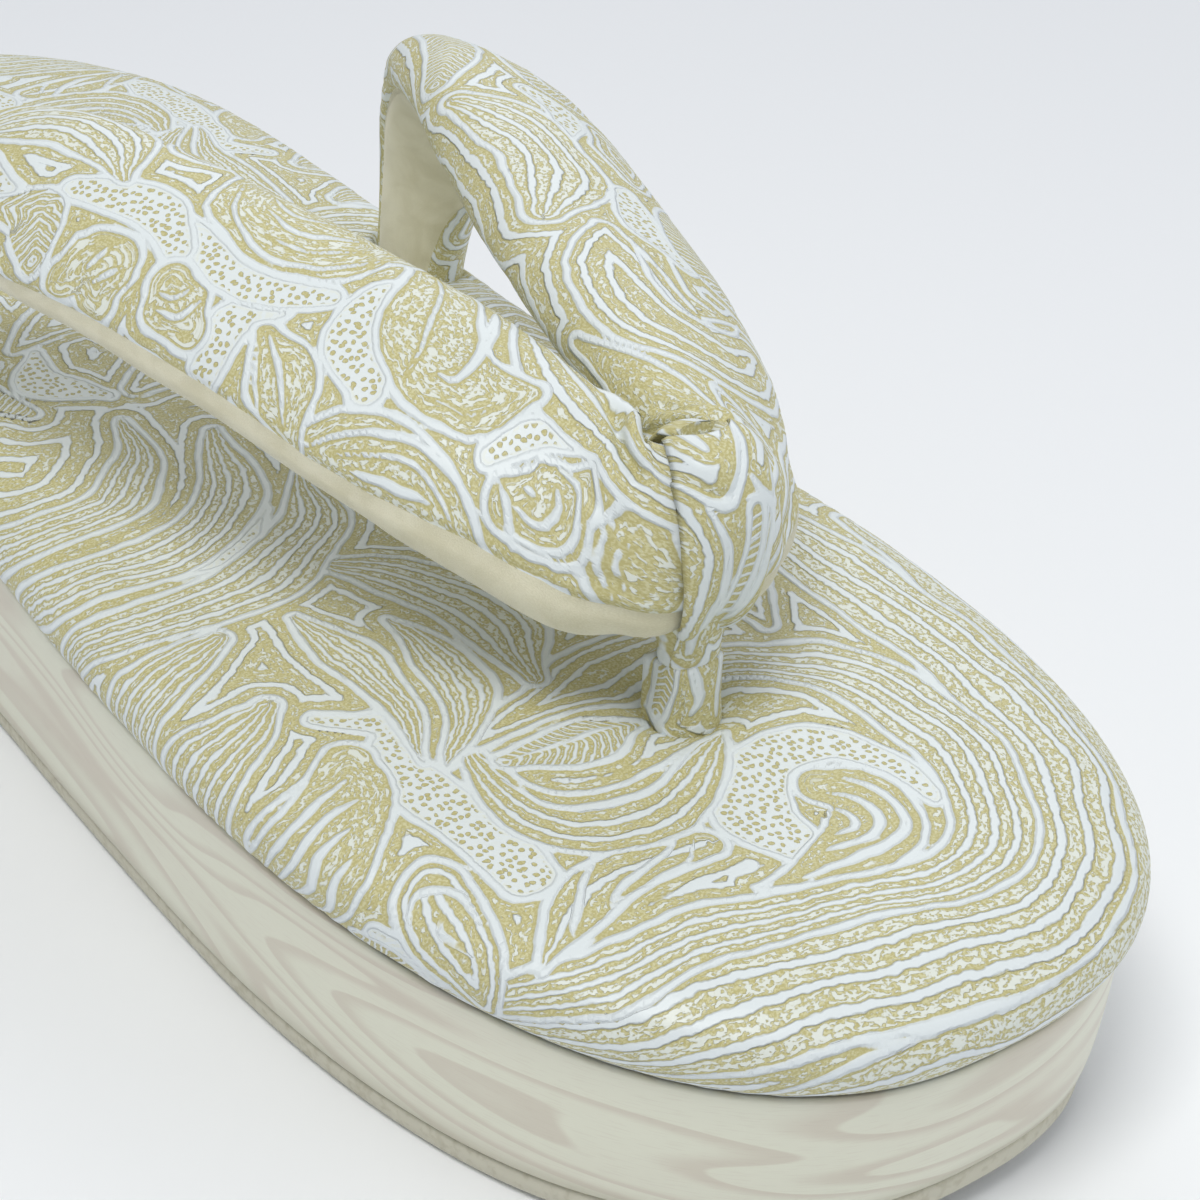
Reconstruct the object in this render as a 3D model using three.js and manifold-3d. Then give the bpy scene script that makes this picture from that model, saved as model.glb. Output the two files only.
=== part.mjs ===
// A zori: a Japanese thong sandal with a wedge sole, a padded top and a stuffed V-shaped thong.
// Millimetres, +Z up. The toe points along -Y, X runs across the foot, and the origin is on the
// floor under the middle of the sandal. Left and right sandals are alike.
import * as THREE from "three";
import { mergeVertices } from "three/addons/utils/BufferGeometryUtils.js";
import Module from "manifold-3d";

const wasm = await Module();
wasm.setup();

// ---- driving dimensions -------------------------------------------------------------------
const LENGTH = 240; // toe tip to heel tip, along the sole's upper edge
const BALL_HALF_WIDTH = 41; // half the width at the ball of the foot
const HEEL_HALF_WIDTH = 36.5; // half the width across the heel
const TOE_RUN = 75; // from the toe tip back to the full width
const TOE_FULLNESS = 2.44; // superellipse power of the toe's outline
const HEEL_RUN = 52; // from the heel tip forward to the full width
const HEEL_FULLNESS = 2.3;
const HEEL_TAPER_END = 190; // where the outline has narrowed to the heel's width
const TOE_EDGE_HEIGHT = 19.1; // the sole's upper edge above the floor, at the toe tip
const EDGE_SLOPE = 0.048; // its steady rise towards the heel
const WEDGE_RISE = 6; // the extra rise of the wedge under the arch
const WEDGE_START = 88;
const WEDGE_END = 190;
const TOE_SPRING = 2.4; // how far the toe tip is lifted off the floor
const TOE_SPRING_RUN = 34;
const OUTSOLE_THICKNESS = 2.8;
const PAD_THICKNESS = 9.4; // the padded top above the sole's edge, at its middle
const GAP = 0.3; // between pieces that meet

// The thong. Distances back are measured from the toe tip.
const BAND_THICKNESS = 1.3;
const SLEEVE = { wide: 6.8, deep: 6.2, top: 36.8, foot: 21 };

const STEPS_PER_ROW = 3; // sections along the thong for each row of its table
const STRAP_SIDES = 20; // points round one section
const CROWN_SHARE = 0.56; // the share of the thong's thickness on its outer face

const COLOURS = {
  rubber: 0xb9b6a6,
  wood: 0xc8c8ba,
  print: 0xdcdac6,
  lining: 0xd8d2bd,
};

// ---- outline of the last ------------------------------------------------------------------
const smooth = (t) => {
  const u = THREE.MathUtils.clamp(t, 0, 1);
  return u * u * (3 - 2 * u);
};

// Half the sole's width at a distance back from the toe tip, before its ends are rounded.
function bodyHalfWidth(back) {
  const t = smooth((back - TOE_RUN * 0.8) / (HEEL_TAPER_END - TOE_RUN * 0.8));
  return THREE.MathUtils.lerp(BALL_HALF_WIDTH, HEEL_HALF_WIDTH, t);
}

// Rows of one side of the outline from toe tip to heel tip: how far back, and half the width.
function outlineRows() {
  const rows = [];
  const toeSteps = 13;
  const middleSteps = 11;
  const heelSteps = 11;
  for (let i = 0; i <= toeSteps; i++) {
    const angle = (i / toeSteps) * (Math.PI / 2);
    const back = TOE_RUN * (1 - Math.cos(angle) ** (2 / TOE_FULLNESS));
    rows.push({ back, half: bodyHalfWidth(back) * Math.sin(angle) ** (2 / TOE_FULLNESS) });
  }
  for (let i = 1; i < middleSteps; i++) {
    const back = THREE.MathUtils.lerp(TOE_RUN, LENGTH - HEEL_RUN, i / middleSteps);
    rows.push({ back, half: bodyHalfWidth(back) });
  }
  for (let i = heelSteps; i >= 0; i--) {
    const angle = (i / heelSteps) * (Math.PI / 2);
    const back = LENGTH - HEEL_RUN * (1 - Math.cos(angle) ** (2 / HEEL_FULLNESS));
    rows.push({ back, half: bodyHalfWidth(back) * Math.sin(angle) ** (2 / HEEL_FULLNESS) });
  }
  return rows;
}
const OUTLINE = outlineRows();

// Heights above the floor at a distance back from the toe tip.
const underside = (back) => TOE_SPRING * Math.max(0, 1 - back / TOE_SPRING_RUN) ** 2;
const soleEdge = (back) =>
  TOE_EDGE_HEIGHT +
  EDGE_SLOPE * back +
  WEDGE_RISE * smooth((back - WEDGE_START) / (WEDGE_END - WEDGE_START));

// ---- solids -------------------------------------------------------------------------------
function geometryOf(points, triangles) {
  const geometry = new THREE.BufferGeometry();
  geometry.setAttribute("position", new THREE.Float32BufferAttribute(points.flat(), 3));
  geometry.setIndex(triangles.flat());
  return geometry;
}

function solidFrom(geometry) {
  const bare = geometry.clone();
  bare.deleteAttribute("normal");
  bare.deleteAttribute("uv");
  const merged = mergeVertices(bare, 1e-4);
  return new wasm.Manifold(
    new wasm.Mesh({
      numProp: 3,
      vertProperties: merged.attributes.position.array,
      triVerts: new Uint32Array(merged.index.array),
    }),
  );
}

// A cut along a curved surface can leave loose crumbs: only the largest body is kept.
function largestBody(solid) {
  return solid.decompose().reduce((best, body) => (body.volume() > best.volume() ? body : best));
}

function geometryFrom(solid) {
  const mesh = solid.getMesh();
  const position = new Float32Array(mesh.numVert * 3);
  for (let i = 0; i < mesh.numVert; i++) {
    position.set(mesh.vertProperties.subarray(i * mesh.numProp, i * mesh.numProp + 3), i * 3);
  }
  const geometry = new THREE.BufferGeometry();
  geometry.setAttribute("position", new THREE.BufferAttribute(position, 3));
  geometry.setIndex(new THREE.BufferAttribute(mesh.triVerts, 1));
  return geometry;
}

// A closed ring of points that follows the outline, grown outwards by `out`, at the height that
// the function gives for each distance back from the toe tip.
function outlineRing(out, height) {
  const along = 1 + out / (LENGTH / 2);
  const across = 1 + out / BALL_HALF_WIDTH;
  const point = (row, side) => [
    side * row.half * across,
    (row.back - LENGTH / 2) * along,
    height(row.back),
  ];
  const right = OUTLINE.map((row) => point(row, 1));
  const left = OUTLINE.slice(1, -1).map((row) => point(row, -1));
  return [...right, ...left.reverse()];
}

// Stacks rings, lowest first, and closes both ends with strips from side to side.
function stackedSolid(rings) {
  const count = rings[0].length;
  const rows = OUTLINE.length;
  const triangles = [];
  for (let r = 0; r + 1 < rings.length; r++) {
    for (let i = 0; i < count; i++) {
      const a = r * count + i;
      const b = r * count + ((i + 1) % count);
      triangles.push([a, b, b + count], [a, b + count, a + count]);
    }
  }
  const leftOf = (row) => (row === 0 || row === rows - 1 ? row : count - row);
  const cap = (base, up) => {
    for (let row = 0; row + 1 < rows; row++) {
      const corners = [row, row + 1, leftOf(row + 1), leftOf(row)].map((i) => base + i);
      const faces = [
        [corners[0], corners[1], corners[2]],
        [corners[0], corners[2], corners[3]],
      ].filter((f) => new Set(f).size === 3);
      triangles.push(...(up ? faces : faces.map((f) => [...f].reverse())));
    }
  };
  cap(0, false);
  cap((rings.length - 1) * count, true);
  return solidFrom(geometryOf(rings.flat(), triangles));
}

// Joins closed sections of equal count, first to last, with a fan over each end.
function loftedSolid(sections) {
  const count = sections[0].length;
  const points = sections.flat();
  const triangles = [];
  for (let s = 0; s + 1 < sections.length; s++) {
    for (let i = 0; i < count; i++) {
      const a = s * count + i;
      const b = s * count + ((i + 1) % count);
      triangles.push([a, a + count, b + count], [a, b + count, b]);
    }
  }
  const centreOf = (section) =>
    [0, 1, 2].map((k) => section.reduce((sum, p) => sum + p[k], 0) / section.length);
  const first = points.length;
  points.push(centreOf(sections[0]), centreOf(sections[sections.length - 1]));
  const lastBase = (sections.length - 1) * count;
  for (let i = 0; i < count; i++) {
    const j = (i + 1) % count;
    triangles.push([first, i, j], [first + 1, lastBase + j, lastBase + i]);
  }
  const solid = solidFrom(geometryOf(points, triangles));
  return solid.volume() > 0 ? solid : solidFrom(geometryOf(points, triangles.map((t) => t.reverse())));
}

// A closed oval through four half-sizes, squared off a little, in the plane of two directions.
function ovalSection(centre, across, halfAcross, outward, halfOut, halfIn, power) {
  const points = [];
  for (let i = 0; i < STRAP_SIDES; i++) {
    const angle = (i / STRAP_SIDES) * 2 * Math.PI;
    const bend = (v) => Math.sign(v) * Math.abs(v) ** power;
    const a = halfAcross * bend(Math.cos(angle));
    const n = (Math.sin(angle) >= 0 ? halfOut : halfIn) * bend(Math.sin(angle));
    const point = centre.clone().addScaledVector(across, a).addScaledVector(outward, n);
    points.push(point.toArray());
  }
  return points;
}

// ---- the thong ----------------------------------------------------------------------------
// One arm, from the nose over the toes to its end inside the sole. out: sideways from the
// middle. back: from the toe tip. up: height of the section's middle above the floor.
// facing: where the outer face looks in plan, 0 to the toe and 90 to the side. lean: how far
// that face tips up. wide and thick: the section's size.
const ARM = [
  { out: 0.0, back: 45.0, up: 49.8, facing: 0, lean: -14, wide: 18.4, thick: 9.0 },
  { out: 4.6, back: 46.4, up: 49.4, facing: 44, lean: 12, wide: 18.8, thick: 9.4 },
  { out: 7.8, back: 51.2, up: 50.0, facing: 66, lean: 40, wide: 20, thick: 10 },
  { out: 10.0, back: 57.0, up: 52.0, facing: 70, lean: 55, wide: 21.8, thick: 10.6 },
  { out: 12.2, back: 64.0, up: 54.2, facing: 72, lean: 63, wide: 24, thick: 11 },
  { out: 15.8, back: 77.0, up: 57.5, facing: 73, lean: 69, wide: 25.4, thick: 11 },
  { out: 20.0, back: 92.0, up: 60.5, facing: 73, lean: 70, wide: 25, thick: 11 },
  { out: 24.8, back: 108.0, up: 63.2, facing: 74, lean: 68, wide: 24, thick: 11 },
  { out: 28.8, back: 121.5, up: 64.2, facing: 77, lean: 61, wide: 22.4, thick: 10.8 },
  { out: 31.6, back: 132.0, up: 61.0, facing: 80, lean: 48, wide: 20.4, thick: 10.2 },
  { out: 33.0, back: 139.6, up: 52.5, facing: 84, lean: 30, wide: 18, thick: 9.4 },
  { out: 33.4, back: 143.2, up: 42.0, facing: 88, lean: 12, wide: 15.6, thick: 8.4 },
  { out: 33.2, back: 144.6, up: 32.0, facing: 90, lean: 3, wide: 14.4, thick: 7.8 },
  { out: 33.0, back: 145.0, up: 24.0, facing: 90, lean: 0, wide: 14, thick: 7.6 },
];

// The whole thong, from the end of the arm at -X round the nose to the end of the arm at +X.
function thongStations() {
  const left = ARM.slice(1).reverse().map((row) => ({ ...row, side: -1 }));
  const right = ARM.map((row) => ({ ...row, side: 1 }));
  return [...left, ...right];
}

// How far an end section moves along the sweep, so that a grown solid is longer too.
const endShift = (i, count, grow) => (i === 0 ? -grow : i === count ? grow : 0);

function thongSections(grow) {
  const rows = thongStations();
  const splineOf = (values) =>
    new THREE.CatmullRomCurve3(rows.map((row) => new THREE.Vector3(...values(row))));
  const centre = splineOf((row) => [row.side * row.out, row.back - LENGTH / 2, row.up]);
  const turn = splineOf((row) => [row.side * row.facing, row.lean, 0]);
  const size = splineOf((row) => [row.wide, row.thick, 0]);
  const count = (rows.length - 1) * STEPS_PER_ROW;
  const sections = [];
  for (let i = 0; i <= count; i++) {
    const t = i / count;
    const forward = centre.getTangent(t);
    const facing = THREE.MathUtils.degToRad(turn.getPoint(t).x);
    const lean = THREE.MathUtils.degToRad(turn.getPoint(t).y);
    const outward = new THREE.Vector3(
      Math.sin(facing) * Math.cos(lean),
      -Math.cos(facing) * Math.cos(lean),
      Math.sin(lean),
    );
    outward.addScaledVector(forward, -outward.dot(forward)).normalize();
    const across = outward.clone().cross(forward);
    const { x: wide, y: thick } = size.getPoint(t);
    sections.push(
      ovalSection(
        centre.getPoint(t).addScaledVector(forward, endShift(i, count, grow)),
        across,
        wide / 2 + grow,
        outward,
        thick * CROWN_SHARE + grow,
        thick * (1 - CROWN_SHARE) + grow,
        0.9,
      ),
    );
  }
  return sections;
}
const thongSolid = (grow) => loftedSolid(thongSections(grow));

// A strip or post that stays in the middle plane, through rows of [back, up, wide, deep].
function middleSweep(rows, grow) {
  const centre = new THREE.CatmullRomCurve3(
    rows.map(([back, up]) => new THREE.Vector3(0, back - LENGTH / 2, up)),
  );
  const size = new THREE.CatmullRomCurve3(
    rows.map(([, , wide, deep]) => new THREE.Vector3(wide, deep, 0)),
  );
  const sideways = new THREE.Vector3(1, 0, 0);
  const count = (rows.length - 1) * 3;
  const sections = [];
  for (let i = 0; i <= count; i++) {
    const forward = centre.getTangent(i / count);
    const middle = centre.getPoint(i / count).addScaledVector(forward, endShift(i, count, grow));
    const outward = sideways.clone().cross(forward);
    const { x: wide, y: deep } = size.getPoint(i / count);
    const half = deep / 2 + grow;
    sections.push(ovalSection(middle, sideways, wide / 2 + grow, outward, half, half, 0.8));
  }
  return loftedSolid(sections);
}

// The band's stem goes straight down through the hole between the toes. Its rear leg closes
// the loop behind the thong's nose: from the tuck on top, down between the arms, to the stem.
const STEM_ROWS = [
  [45.2, 17, 4.6, 3.4],
  [45.2, 27, 4.6, 3.8],
  [45.2, 34, 4.6, 4],
  [45.0, 38, 5.4, 4.4],
  [44.8, 41, 6.4, 4.6],
];
const REAR_LEG_ROWS = [
  [45.4, 59.6, 4.6, 1.3],
  [48.4, 58.4, 4.4, 1.3],
  [51.0, 54.6, 4.0, 1.3],
  [51.8, 49.0, 3.8, 1.3],
  [50.8, 43.0, 3.8, 1.3],
  [48.0, 38.4, 4.0, 1.3],
  [45.6, 34.4, 4.2, 1.4],
];
// The short sleeve that hides the stem above the padded top.
const SLEEVE_ROWS = [
  [45.2, SLEEVE.foot, SLEEVE.wide, SLEEVE.deep],
  [45.2, 30, SLEEVE.wide, SLEEVE.deep],
  [45.2, SLEEVE.top, SLEEVE.wide, SLEEVE.deep],
];

// The band's front view: its half width at a height above the floor, widest where it turns
// over the top of the thong and gathered in to the post under it.
const BAND_VIEW = [
  { up: 32, half: 3.0 },
  { up: 38.5, half: 3.3 },
  { up: 43, half: 4.4 },
  { up: 50, half: 5.3 },
  { up: 57, half: 5.6 },
  { up: 68, half: 5.6 },
];
const BAND_FRONT = 30; // the band lies between these distances back from the toe tip
const BAND_REAR = 46.8;

function bandCutter() {
  const outline = new THREE.Shape();
  outline.moveTo(BAND_VIEW[0].half, BAND_VIEW[0].up);
  BAND_VIEW.slice(1).forEach((row) => outline.lineTo(row.half, row.up));
  [...BAND_VIEW].reverse().forEach((row) => outline.lineTo(-row.half, row.up));
  const geometry = new THREE.ExtrudeGeometry(outline, {
    depth: BAND_REAR - BAND_FRONT,
    bevelEnabled: false,
    steps: 1,
  });
  geometry.rotateX(Math.PI / 2);
  geometry.translate(0, BAND_REAR - LENGTH / 2, 0);
  return solidFrom(geometry);
}

// ---- the pieces ---------------------------------------------------------------------------
function outsoleSolid() {
  return stackedSolid([
    outlineRing(-2.6, underside),
    outlineRing(-1.9, (back) => underside(back) + 0.7),
    outlineRing(-1.7, (back) => underside(back) + OUTSOLE_THICKNESS),
  ]);
}

function soleBlock() {
  const bottom = (back) => underside(back) + OUTSOLE_THICKNESS + GAP;
  const top = (back) => soleEdge(back) - GAP / 2;
  const between = (share) => (back) => THREE.MathUtils.lerp(bottom(back), top(back), share);
  return stackedSolid([
    outlineRing(-1.4, bottom),
    outlineRing(-0.7, between(0.3)),
    outlineRing(-0.2, between(0.7)),
    outlineRing(0, top),
  ]);
}

// The padded top. Rows from its underside over the rolled edge to the middle: how far outside
// the sole's edge, and how high as a share of the pad's thickness.
const PAD_ROLL = [
  { out: -0.4, rise: 0 },
  { out: 0.7, rise: 0.13 },
  { out: 1.5, rise: 0.34 },
  { out: 1.5, rise: 0.52 },
  { out: 0.7, rise: 0.7 },
  { out: -1.0, rise: 0.83 },
  { out: -3.6, rise: 0.92 },
  { out: -8, rise: 0.97 },
  { out: -18, rise: 1 },
];

function padBlock() {
  const height = (rise) => (back) => soleEdge(back) + GAP / 2 + (PAD_THICKNESS - GAP / 2) * rise;
  return stackedSolid(PAD_ROLL.map((row) => outlineRing(row.out, height(row.rise))));
}

const rearLeg = middleSweep(REAR_LEG_ROWS, 0);
const rearLegRoom = middleSweep(REAR_LEG_ROWS, GAP);
const stem = middleSweep(STEM_ROWS, 0);
const stemRoom = middleSweep(STEM_ROWS, GAP);
const sleeveRoom = middleSweep(SLEEVE_ROWS, GAP);
const thongRoom = thongSolid(GAP);

const thong = thongSolid(0).subtract(rearLegRoom);
const bandFront = thongSolid(GAP + BAND_THICKNESS).intersect(bandCutter()).subtract(thongRoom);
const band = largestBody(bandFront)
  .add(stem.subtract(thongRoom))
  .add(rearLeg);
const sleeve = middleSweep(SLEEVE_ROWS, 0)
  .subtract(stemRoom)
  .subtract(rearLegRoom);

const PIECES = [
  { name: "outsole", solid: outsoleSolid(), colour: COLOURS.rubber, roughness: 0.75 },
  {
    name: "sole",
    solid: soleBlock().subtract(thongRoom).subtract(sleeveRoom).subtract(stemRoom),
    colour: COLOURS.wood,
    roughness: 0.45,
  },
  {
    name: "insole_pad",
    solid: padBlock().subtract(thongRoom).subtract(sleeveRoom),
    colour: COLOURS.print,
    roughness: 0.5,
  },
  { name: "upper_thong", solid: thong, colour: COLOURS.print, roughness: 0.5 },
  { name: "toe_band", solid: band, colour: COLOURS.print, roughness: 0.5 },
  { name: "toe_post_sleeve", solid: sleeve, colour: COLOURS.print, roughness: 0.5 },
];

const sandal = new THREE.Group();
for (const piece of PIECES) {
  const material = new THREE.MeshStandardMaterial({
    color: piece.colour,
    roughness: piece.roughness,
    metalness: 0,
  });
  const mesh = new THREE.Mesh(geometryFrom(piece.solid), material);
  mesh.name = piece.name;
  sandal.add(mesh);
}

export default sandal;
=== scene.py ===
"""A zori: a thong sandal with a wedge sole, a padded top and a stuffed V-shaped thong.

Sizes are in millimetres until a mesh is made. The toe points along -Y, X runs across the foot,
and the origin is on the floor under the middle of the sandal.
"""

import logging
from dataclasses import dataclass, field, replace
from enum import Enum
from math import pi, radians

import bpy
import numpy as np
from mathutils import Matrix, Vector


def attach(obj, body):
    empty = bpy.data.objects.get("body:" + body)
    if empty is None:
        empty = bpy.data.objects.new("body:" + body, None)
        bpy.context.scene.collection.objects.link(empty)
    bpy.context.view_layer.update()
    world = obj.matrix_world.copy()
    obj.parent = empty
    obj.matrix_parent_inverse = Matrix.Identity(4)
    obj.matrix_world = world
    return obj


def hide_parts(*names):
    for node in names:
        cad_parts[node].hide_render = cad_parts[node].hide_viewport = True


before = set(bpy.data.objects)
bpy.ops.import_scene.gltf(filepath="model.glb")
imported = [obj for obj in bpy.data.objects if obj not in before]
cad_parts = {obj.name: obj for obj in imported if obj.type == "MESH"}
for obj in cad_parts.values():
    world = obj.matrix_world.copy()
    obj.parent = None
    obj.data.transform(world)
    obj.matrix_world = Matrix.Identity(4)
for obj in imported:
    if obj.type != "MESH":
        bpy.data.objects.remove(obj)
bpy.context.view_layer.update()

LOG = logging.getLogger("zori")
MM = 0.001
GAP = 0.3  # between pieces that meet


# ---- curves and tables ----
def ease(t: np.ndarray) -> np.ndarray:
    """A smooth step from 0 to 1.

    Args:
        t: The position, clamped to 0..1.

    Returns:
        The eased position.
    """
    u = np.clip(t, 0.0, 1.0)
    return u * u * (3.0 - 2.0 * u)


def bell(distance: np.ndarray, reach: float) -> np.ndarray:
    """A soft bump of height 1 that has died away by about twice its reach."""
    return np.exp(-((distance / reach) ** 2))


def unit(v: np.ndarray) -> np.ndarray:
    """The vectors scaled to length 1."""
    return v / np.maximum(np.linalg.norm(v, axis=-1, keepdims=True), 1e-12)


def spline(rows: np.ndarray, t: np.ndarray) -> np.ndarray:
    """A centripetal Catmull-Rom curve through rows of numbers.

    Args:
        rows: One row of numbers for each knot.
        t: Positions from 0 to 1, in knots.

    Returns:
        One row for each position.
    """
    rows = np.asarray(rows, float)
    count = len(rows)
    padded = np.vstack([2 * rows[0] - rows[1], rows, 2 * rows[-1] - rows[-2]])
    u = np.clip(np.asarray(t, float), 0, 1) * (count - 1)
    i = np.minimum(u.astype(int), count - 2)
    w = (u - i)[:, None]
    p0, p1, p2, p3 = padded[i], padded[i + 1], padded[i + 2], padded[i + 3]

    def root(a: np.ndarray, b: np.ndarray) -> np.ndarray:
        """The square root of the distance between two rows."""
        return np.maximum(((a - b) ** 2).sum(1), 1e-8)[:, None] ** 0.25

    d0, d1, d2 = root(p0, p1), root(p1, p2), root(p2, p3)
    t1 = ((p1 - p0) / d0 - (p2 - p0) / (d0 + d1) + (p2 - p1) / d1) * d1
    t2 = ((p2 - p1) / d1 - (p3 - p1) / (d1 + d2) + (p3 - p2) / d2) * d1
    c2 = -3 * p1 + 3 * p2 - 2 * t1 - t2
    c3 = 2 * p1 - 2 * p2 + t1 + t2
    return p1 + w * (t1 + w * (c2 + w * c3))


def run_length(points: np.ndarray) -> np.ndarray:
    """How far along a polyline each of its points is."""
    return np.r_[0, np.cumsum(np.linalg.norm(np.diff(points, axis=0), axis=1))]


def even_steps(points: np.ndarray, count: int) -> np.ndarray:
    """Positions along a polyline, in points, that divide its length evenly."""
    length = run_length(points)
    return np.interp(np.linspace(0, length[-1], count), length, np.arange(len(points)))


def beside(
    points: np.ndarray, line: np.ndarray
) -> tuple[np.ndarray, np.ndarray, np.ndarray, float]:
    """Measures points in the plane against a polyline.

    Args:
        points: The points, one to a row.
        line: The polyline's knots.

    Returns:
        The points' distances from the line, how far along it they are, their sides, and the
        line's length.
    """
    best = np.full(len(points), np.inf)
    along, side, start = np.zeros(len(points)), np.zeros(len(points)), 0.0
    for a, b in zip(line[:-1], line[1:]):
        step, offset = b - a, points - a
        size = float(np.hypot(*step))
        t = np.clip(offset @ step / max(size, 1e-9) ** 2, 0, 1)
        distance = np.hypot(*(offset - t[:, None] * step).T)
        closer = distance < best
        turn = np.sign(step[0] * offset[:, 1] - step[1] * offset[:, 0])
        best = np.where(closer, distance, best)
        along = np.where(closer, start + t * size, along)
        side = np.where(closer, turn, side)
        start += size
    return best, along, side, start


def squared(sine: np.ndarray, power: float) -> np.ndarray:
    """A sine made a little square, more so with a higher power."""
    return sine * (sine * sine + 0.03) ** -power


def ripple(x: np.ndarray, y: np.ndarray, seed: int, count: int = 7) -> np.ndarray:
    """Slow unevenness from a few crossed waves, about -1 to 1.

    Args:
        x: First coordinate, in wavelengths.
        y: Second coordinate, in wavelengths.
        seed: Picks the waves.
        count: How many waves cross.

    Returns:
        The unevenness at each point.
    """
    rng = np.random.default_rng(seed)
    total = np.zeros_like(x)
    for _ in range(count):
        turn, phase, wave = rng.uniform(0, 2 * pi), rng.uniform(0, 2 * pi), rng.uniform(0.6, 1.5)
        total += np.sin(2 * pi * wave * (x * np.cos(turn) + y * np.sin(turn)) + phase)
    return total / count**0.5 / 1.4


# ---- meshes ----
@dataclass
class Shell:
    """Points, faces and per-point values that grow into one mesh.

    Attributes:
        points: Lists of point blocks, in millimetres.
        faces: Point numbers of each face.
        finish: The material slot of each face.
        values: Per-point vector blocks by attribute name.
        count: How many points there are so far.
    """

    points: list[np.ndarray] = field(default_factory=list)
    faces: list[tuple[int, ...]] = field(default_factory=list)
    finish: list[int] = field(default_factory=list)
    values: dict[str, list[np.ndarray]] = field(default_factory=dict)
    count: int = 0

    def add(self, points: np.ndarray, **values: np.ndarray) -> np.ndarray:
        """Adds a block of points.

        Args:
            points: The points, one to a row.
            values: One vector for each point, by attribute name.

        Returns:
            The numbers of the new points.
        """
        points = np.asarray(points, float).reshape(-1, 3)
        self.points.append(points)
        for name, block in values.items():
            self.values.setdefault(name, []).append(np.asarray(block, float).reshape(-1, 3))
        first = self.count
        self.count += len(points)
        return np.arange(first, self.count)

    def face(self, corners: tuple[int, ...], finish: int = 0) -> None:
        """Adds one face, unless two of its corners are the same point."""
        kept = tuple(dict.fromkeys(int(c) for c in corners))
        if len(kept) > 2:
            self.faces.append(kept)
            self.finish.append(finish)

    def grid(self, numbers: np.ndarray, closed: bool = False, finish: np.ndarray | int = 0) -> None:
        """Joins a block of point numbers, rows by columns, into quads.

        Args:
            numbers: The point numbers, one row to a line.
            closed: Whether the last column joins the first.
            finish: The material slot, or one for each column of faces.
        """
        rows, columns = numbers.shape
        span = columns if closed else columns - 1
        slots = np.full(span, finish) if np.isscalar(finish) else np.asarray(finish)
        for r in range(rows - 1):
            a, b = numbers[r], numbers[r + 1]
            for c in range(span):
                d = (c + 1) % columns
                self.face((a[c], a[d], b[d], b[c]), int(slots[c]))

    def fan(self, centre: int, ring: np.ndarray, finish: int = 0) -> None:
        """Closes a ring of point numbers round a centre point."""
        for a, b in zip(ring, np.roll(ring, -1)):
            self.face((centre, a, b), finish)

    def mesh(self, name: str, materials: list[bpy.types.Material]) -> bpy.types.Object:
        """Makes the object, in metres, with its faces outward and shaded smooth.

        Args:
            name: The piece's name.
            materials: Its finishes, by slot.

        Returns:
            The new object, in the scene.
        """
        data = bpy.data.meshes.new(name)
        points = np.vstack(self.points) * MM
        data.from_pydata(points.tolist(), [], self.faces)
        store(data, {label: np.vstack(blocks) for label, blocks in self.values.items()})
        for material in materials:
            data.materials.append(material)
        data.polygons.foreach_set("material_index", np.array(self.finish, np.int32))
        data.update()
        return smooth_piece(name, data)


def put(name: str, data: bpy.types.ID) -> bpy.types.Object:
    """Makes an object of some data and links it to the scene."""
    made = bpy.data.objects.new(name, data)
    bpy.context.scene.collection.objects.link(made)
    return made


def store(data: bpy.types.Mesh, values: dict[str, np.ndarray]) -> None:
    """Writes vectors for each point on a mesh, by attribute name."""
    for label, block in values.items():
        layer = data.attributes.new(label, "FLOAT_VECTOR", "POINT")
        layer.data.foreach_set("vector", block.astype(np.float32).ravel())


def corner_points(data: bpy.types.Mesh) -> np.ndarray:
    """The mesh's points, in metres."""
    points = np.empty(len(data.vertices) * 3, np.float32)
    data.vertices.foreach_get("co", points)
    return points.reshape(-1, 3)


def smooth_piece(name: str, data: bpy.types.Mesh) -> bpy.types.Object:
    """Makes a piece of a closed mesh, shaded smooth, with its faces turned outward.

    Args:
        name: The piece's name.
        data: Its mesh.

    Returns:
        The new object, in the scene.
    """
    data.calc_loop_triangles()
    corners = np.empty(len(data.loop_triangles) * 3, np.int32)
    data.loop_triangles.foreach_get("vertices", corners)
    triangles = corner_points(data)[corners.reshape(-1, 3)].astype(float)
    a, b, c = triangles.transpose(1, 0, 2)
    if (a * np.cross(b, c)).sum() < 0:
        data.flip_normals()
    data.shade_smooth()
    return put(name, data)


# ---- the print's motifs ----
Line = tuple[tuple[float, float], ...]


class Strokes(Enum):
    """How the inside of a motif is drawn."""

    BANDS = "white bands along it"
    RINGS = "white rings inside each other"
    COMB = "short ribs across it"
    CHEVRON = "leaf veins that slant back from its middle"
    STIPPLE = "dots"


@dataclass(frozen=True)
class Drawn:
    """What is drawn along a spine.

    Attributes:
        spine: Its middle line, in hide millimetres.
    """

    spine: Line

    def turned(self, length: float) -> "Drawn":
        """The same turned end for end about the middle of a sole of this length."""
        return replace(self, spine=tuple((-x, length - y) for x, y in self.spine))


@dataclass(frozen=True)
class Motif(Drawn):
    """A rounded shape.

    Attributes:
        half: Its half width along the spine, from end to end.
        strokes: How its inside is drawn.
        pitch: From one white stroke to the next.
        fill: How much of the middle of a coloured stroke is filled in.
        bands: For BANDS, the number from the spine to the outline.
    """

    half: tuple[float, ...]
    strokes: Strokes = Strokes.STIPPLE
    pitch: float = 1.0
    fill: float = 0.0
    bands: int = 0


@dataclass(frozen=True)
class Vein(Drawn):
    """A raised white stroke that tapers to both ends.

    Attributes:
        wide: Its greatest width.
    """

    wide: float


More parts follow.
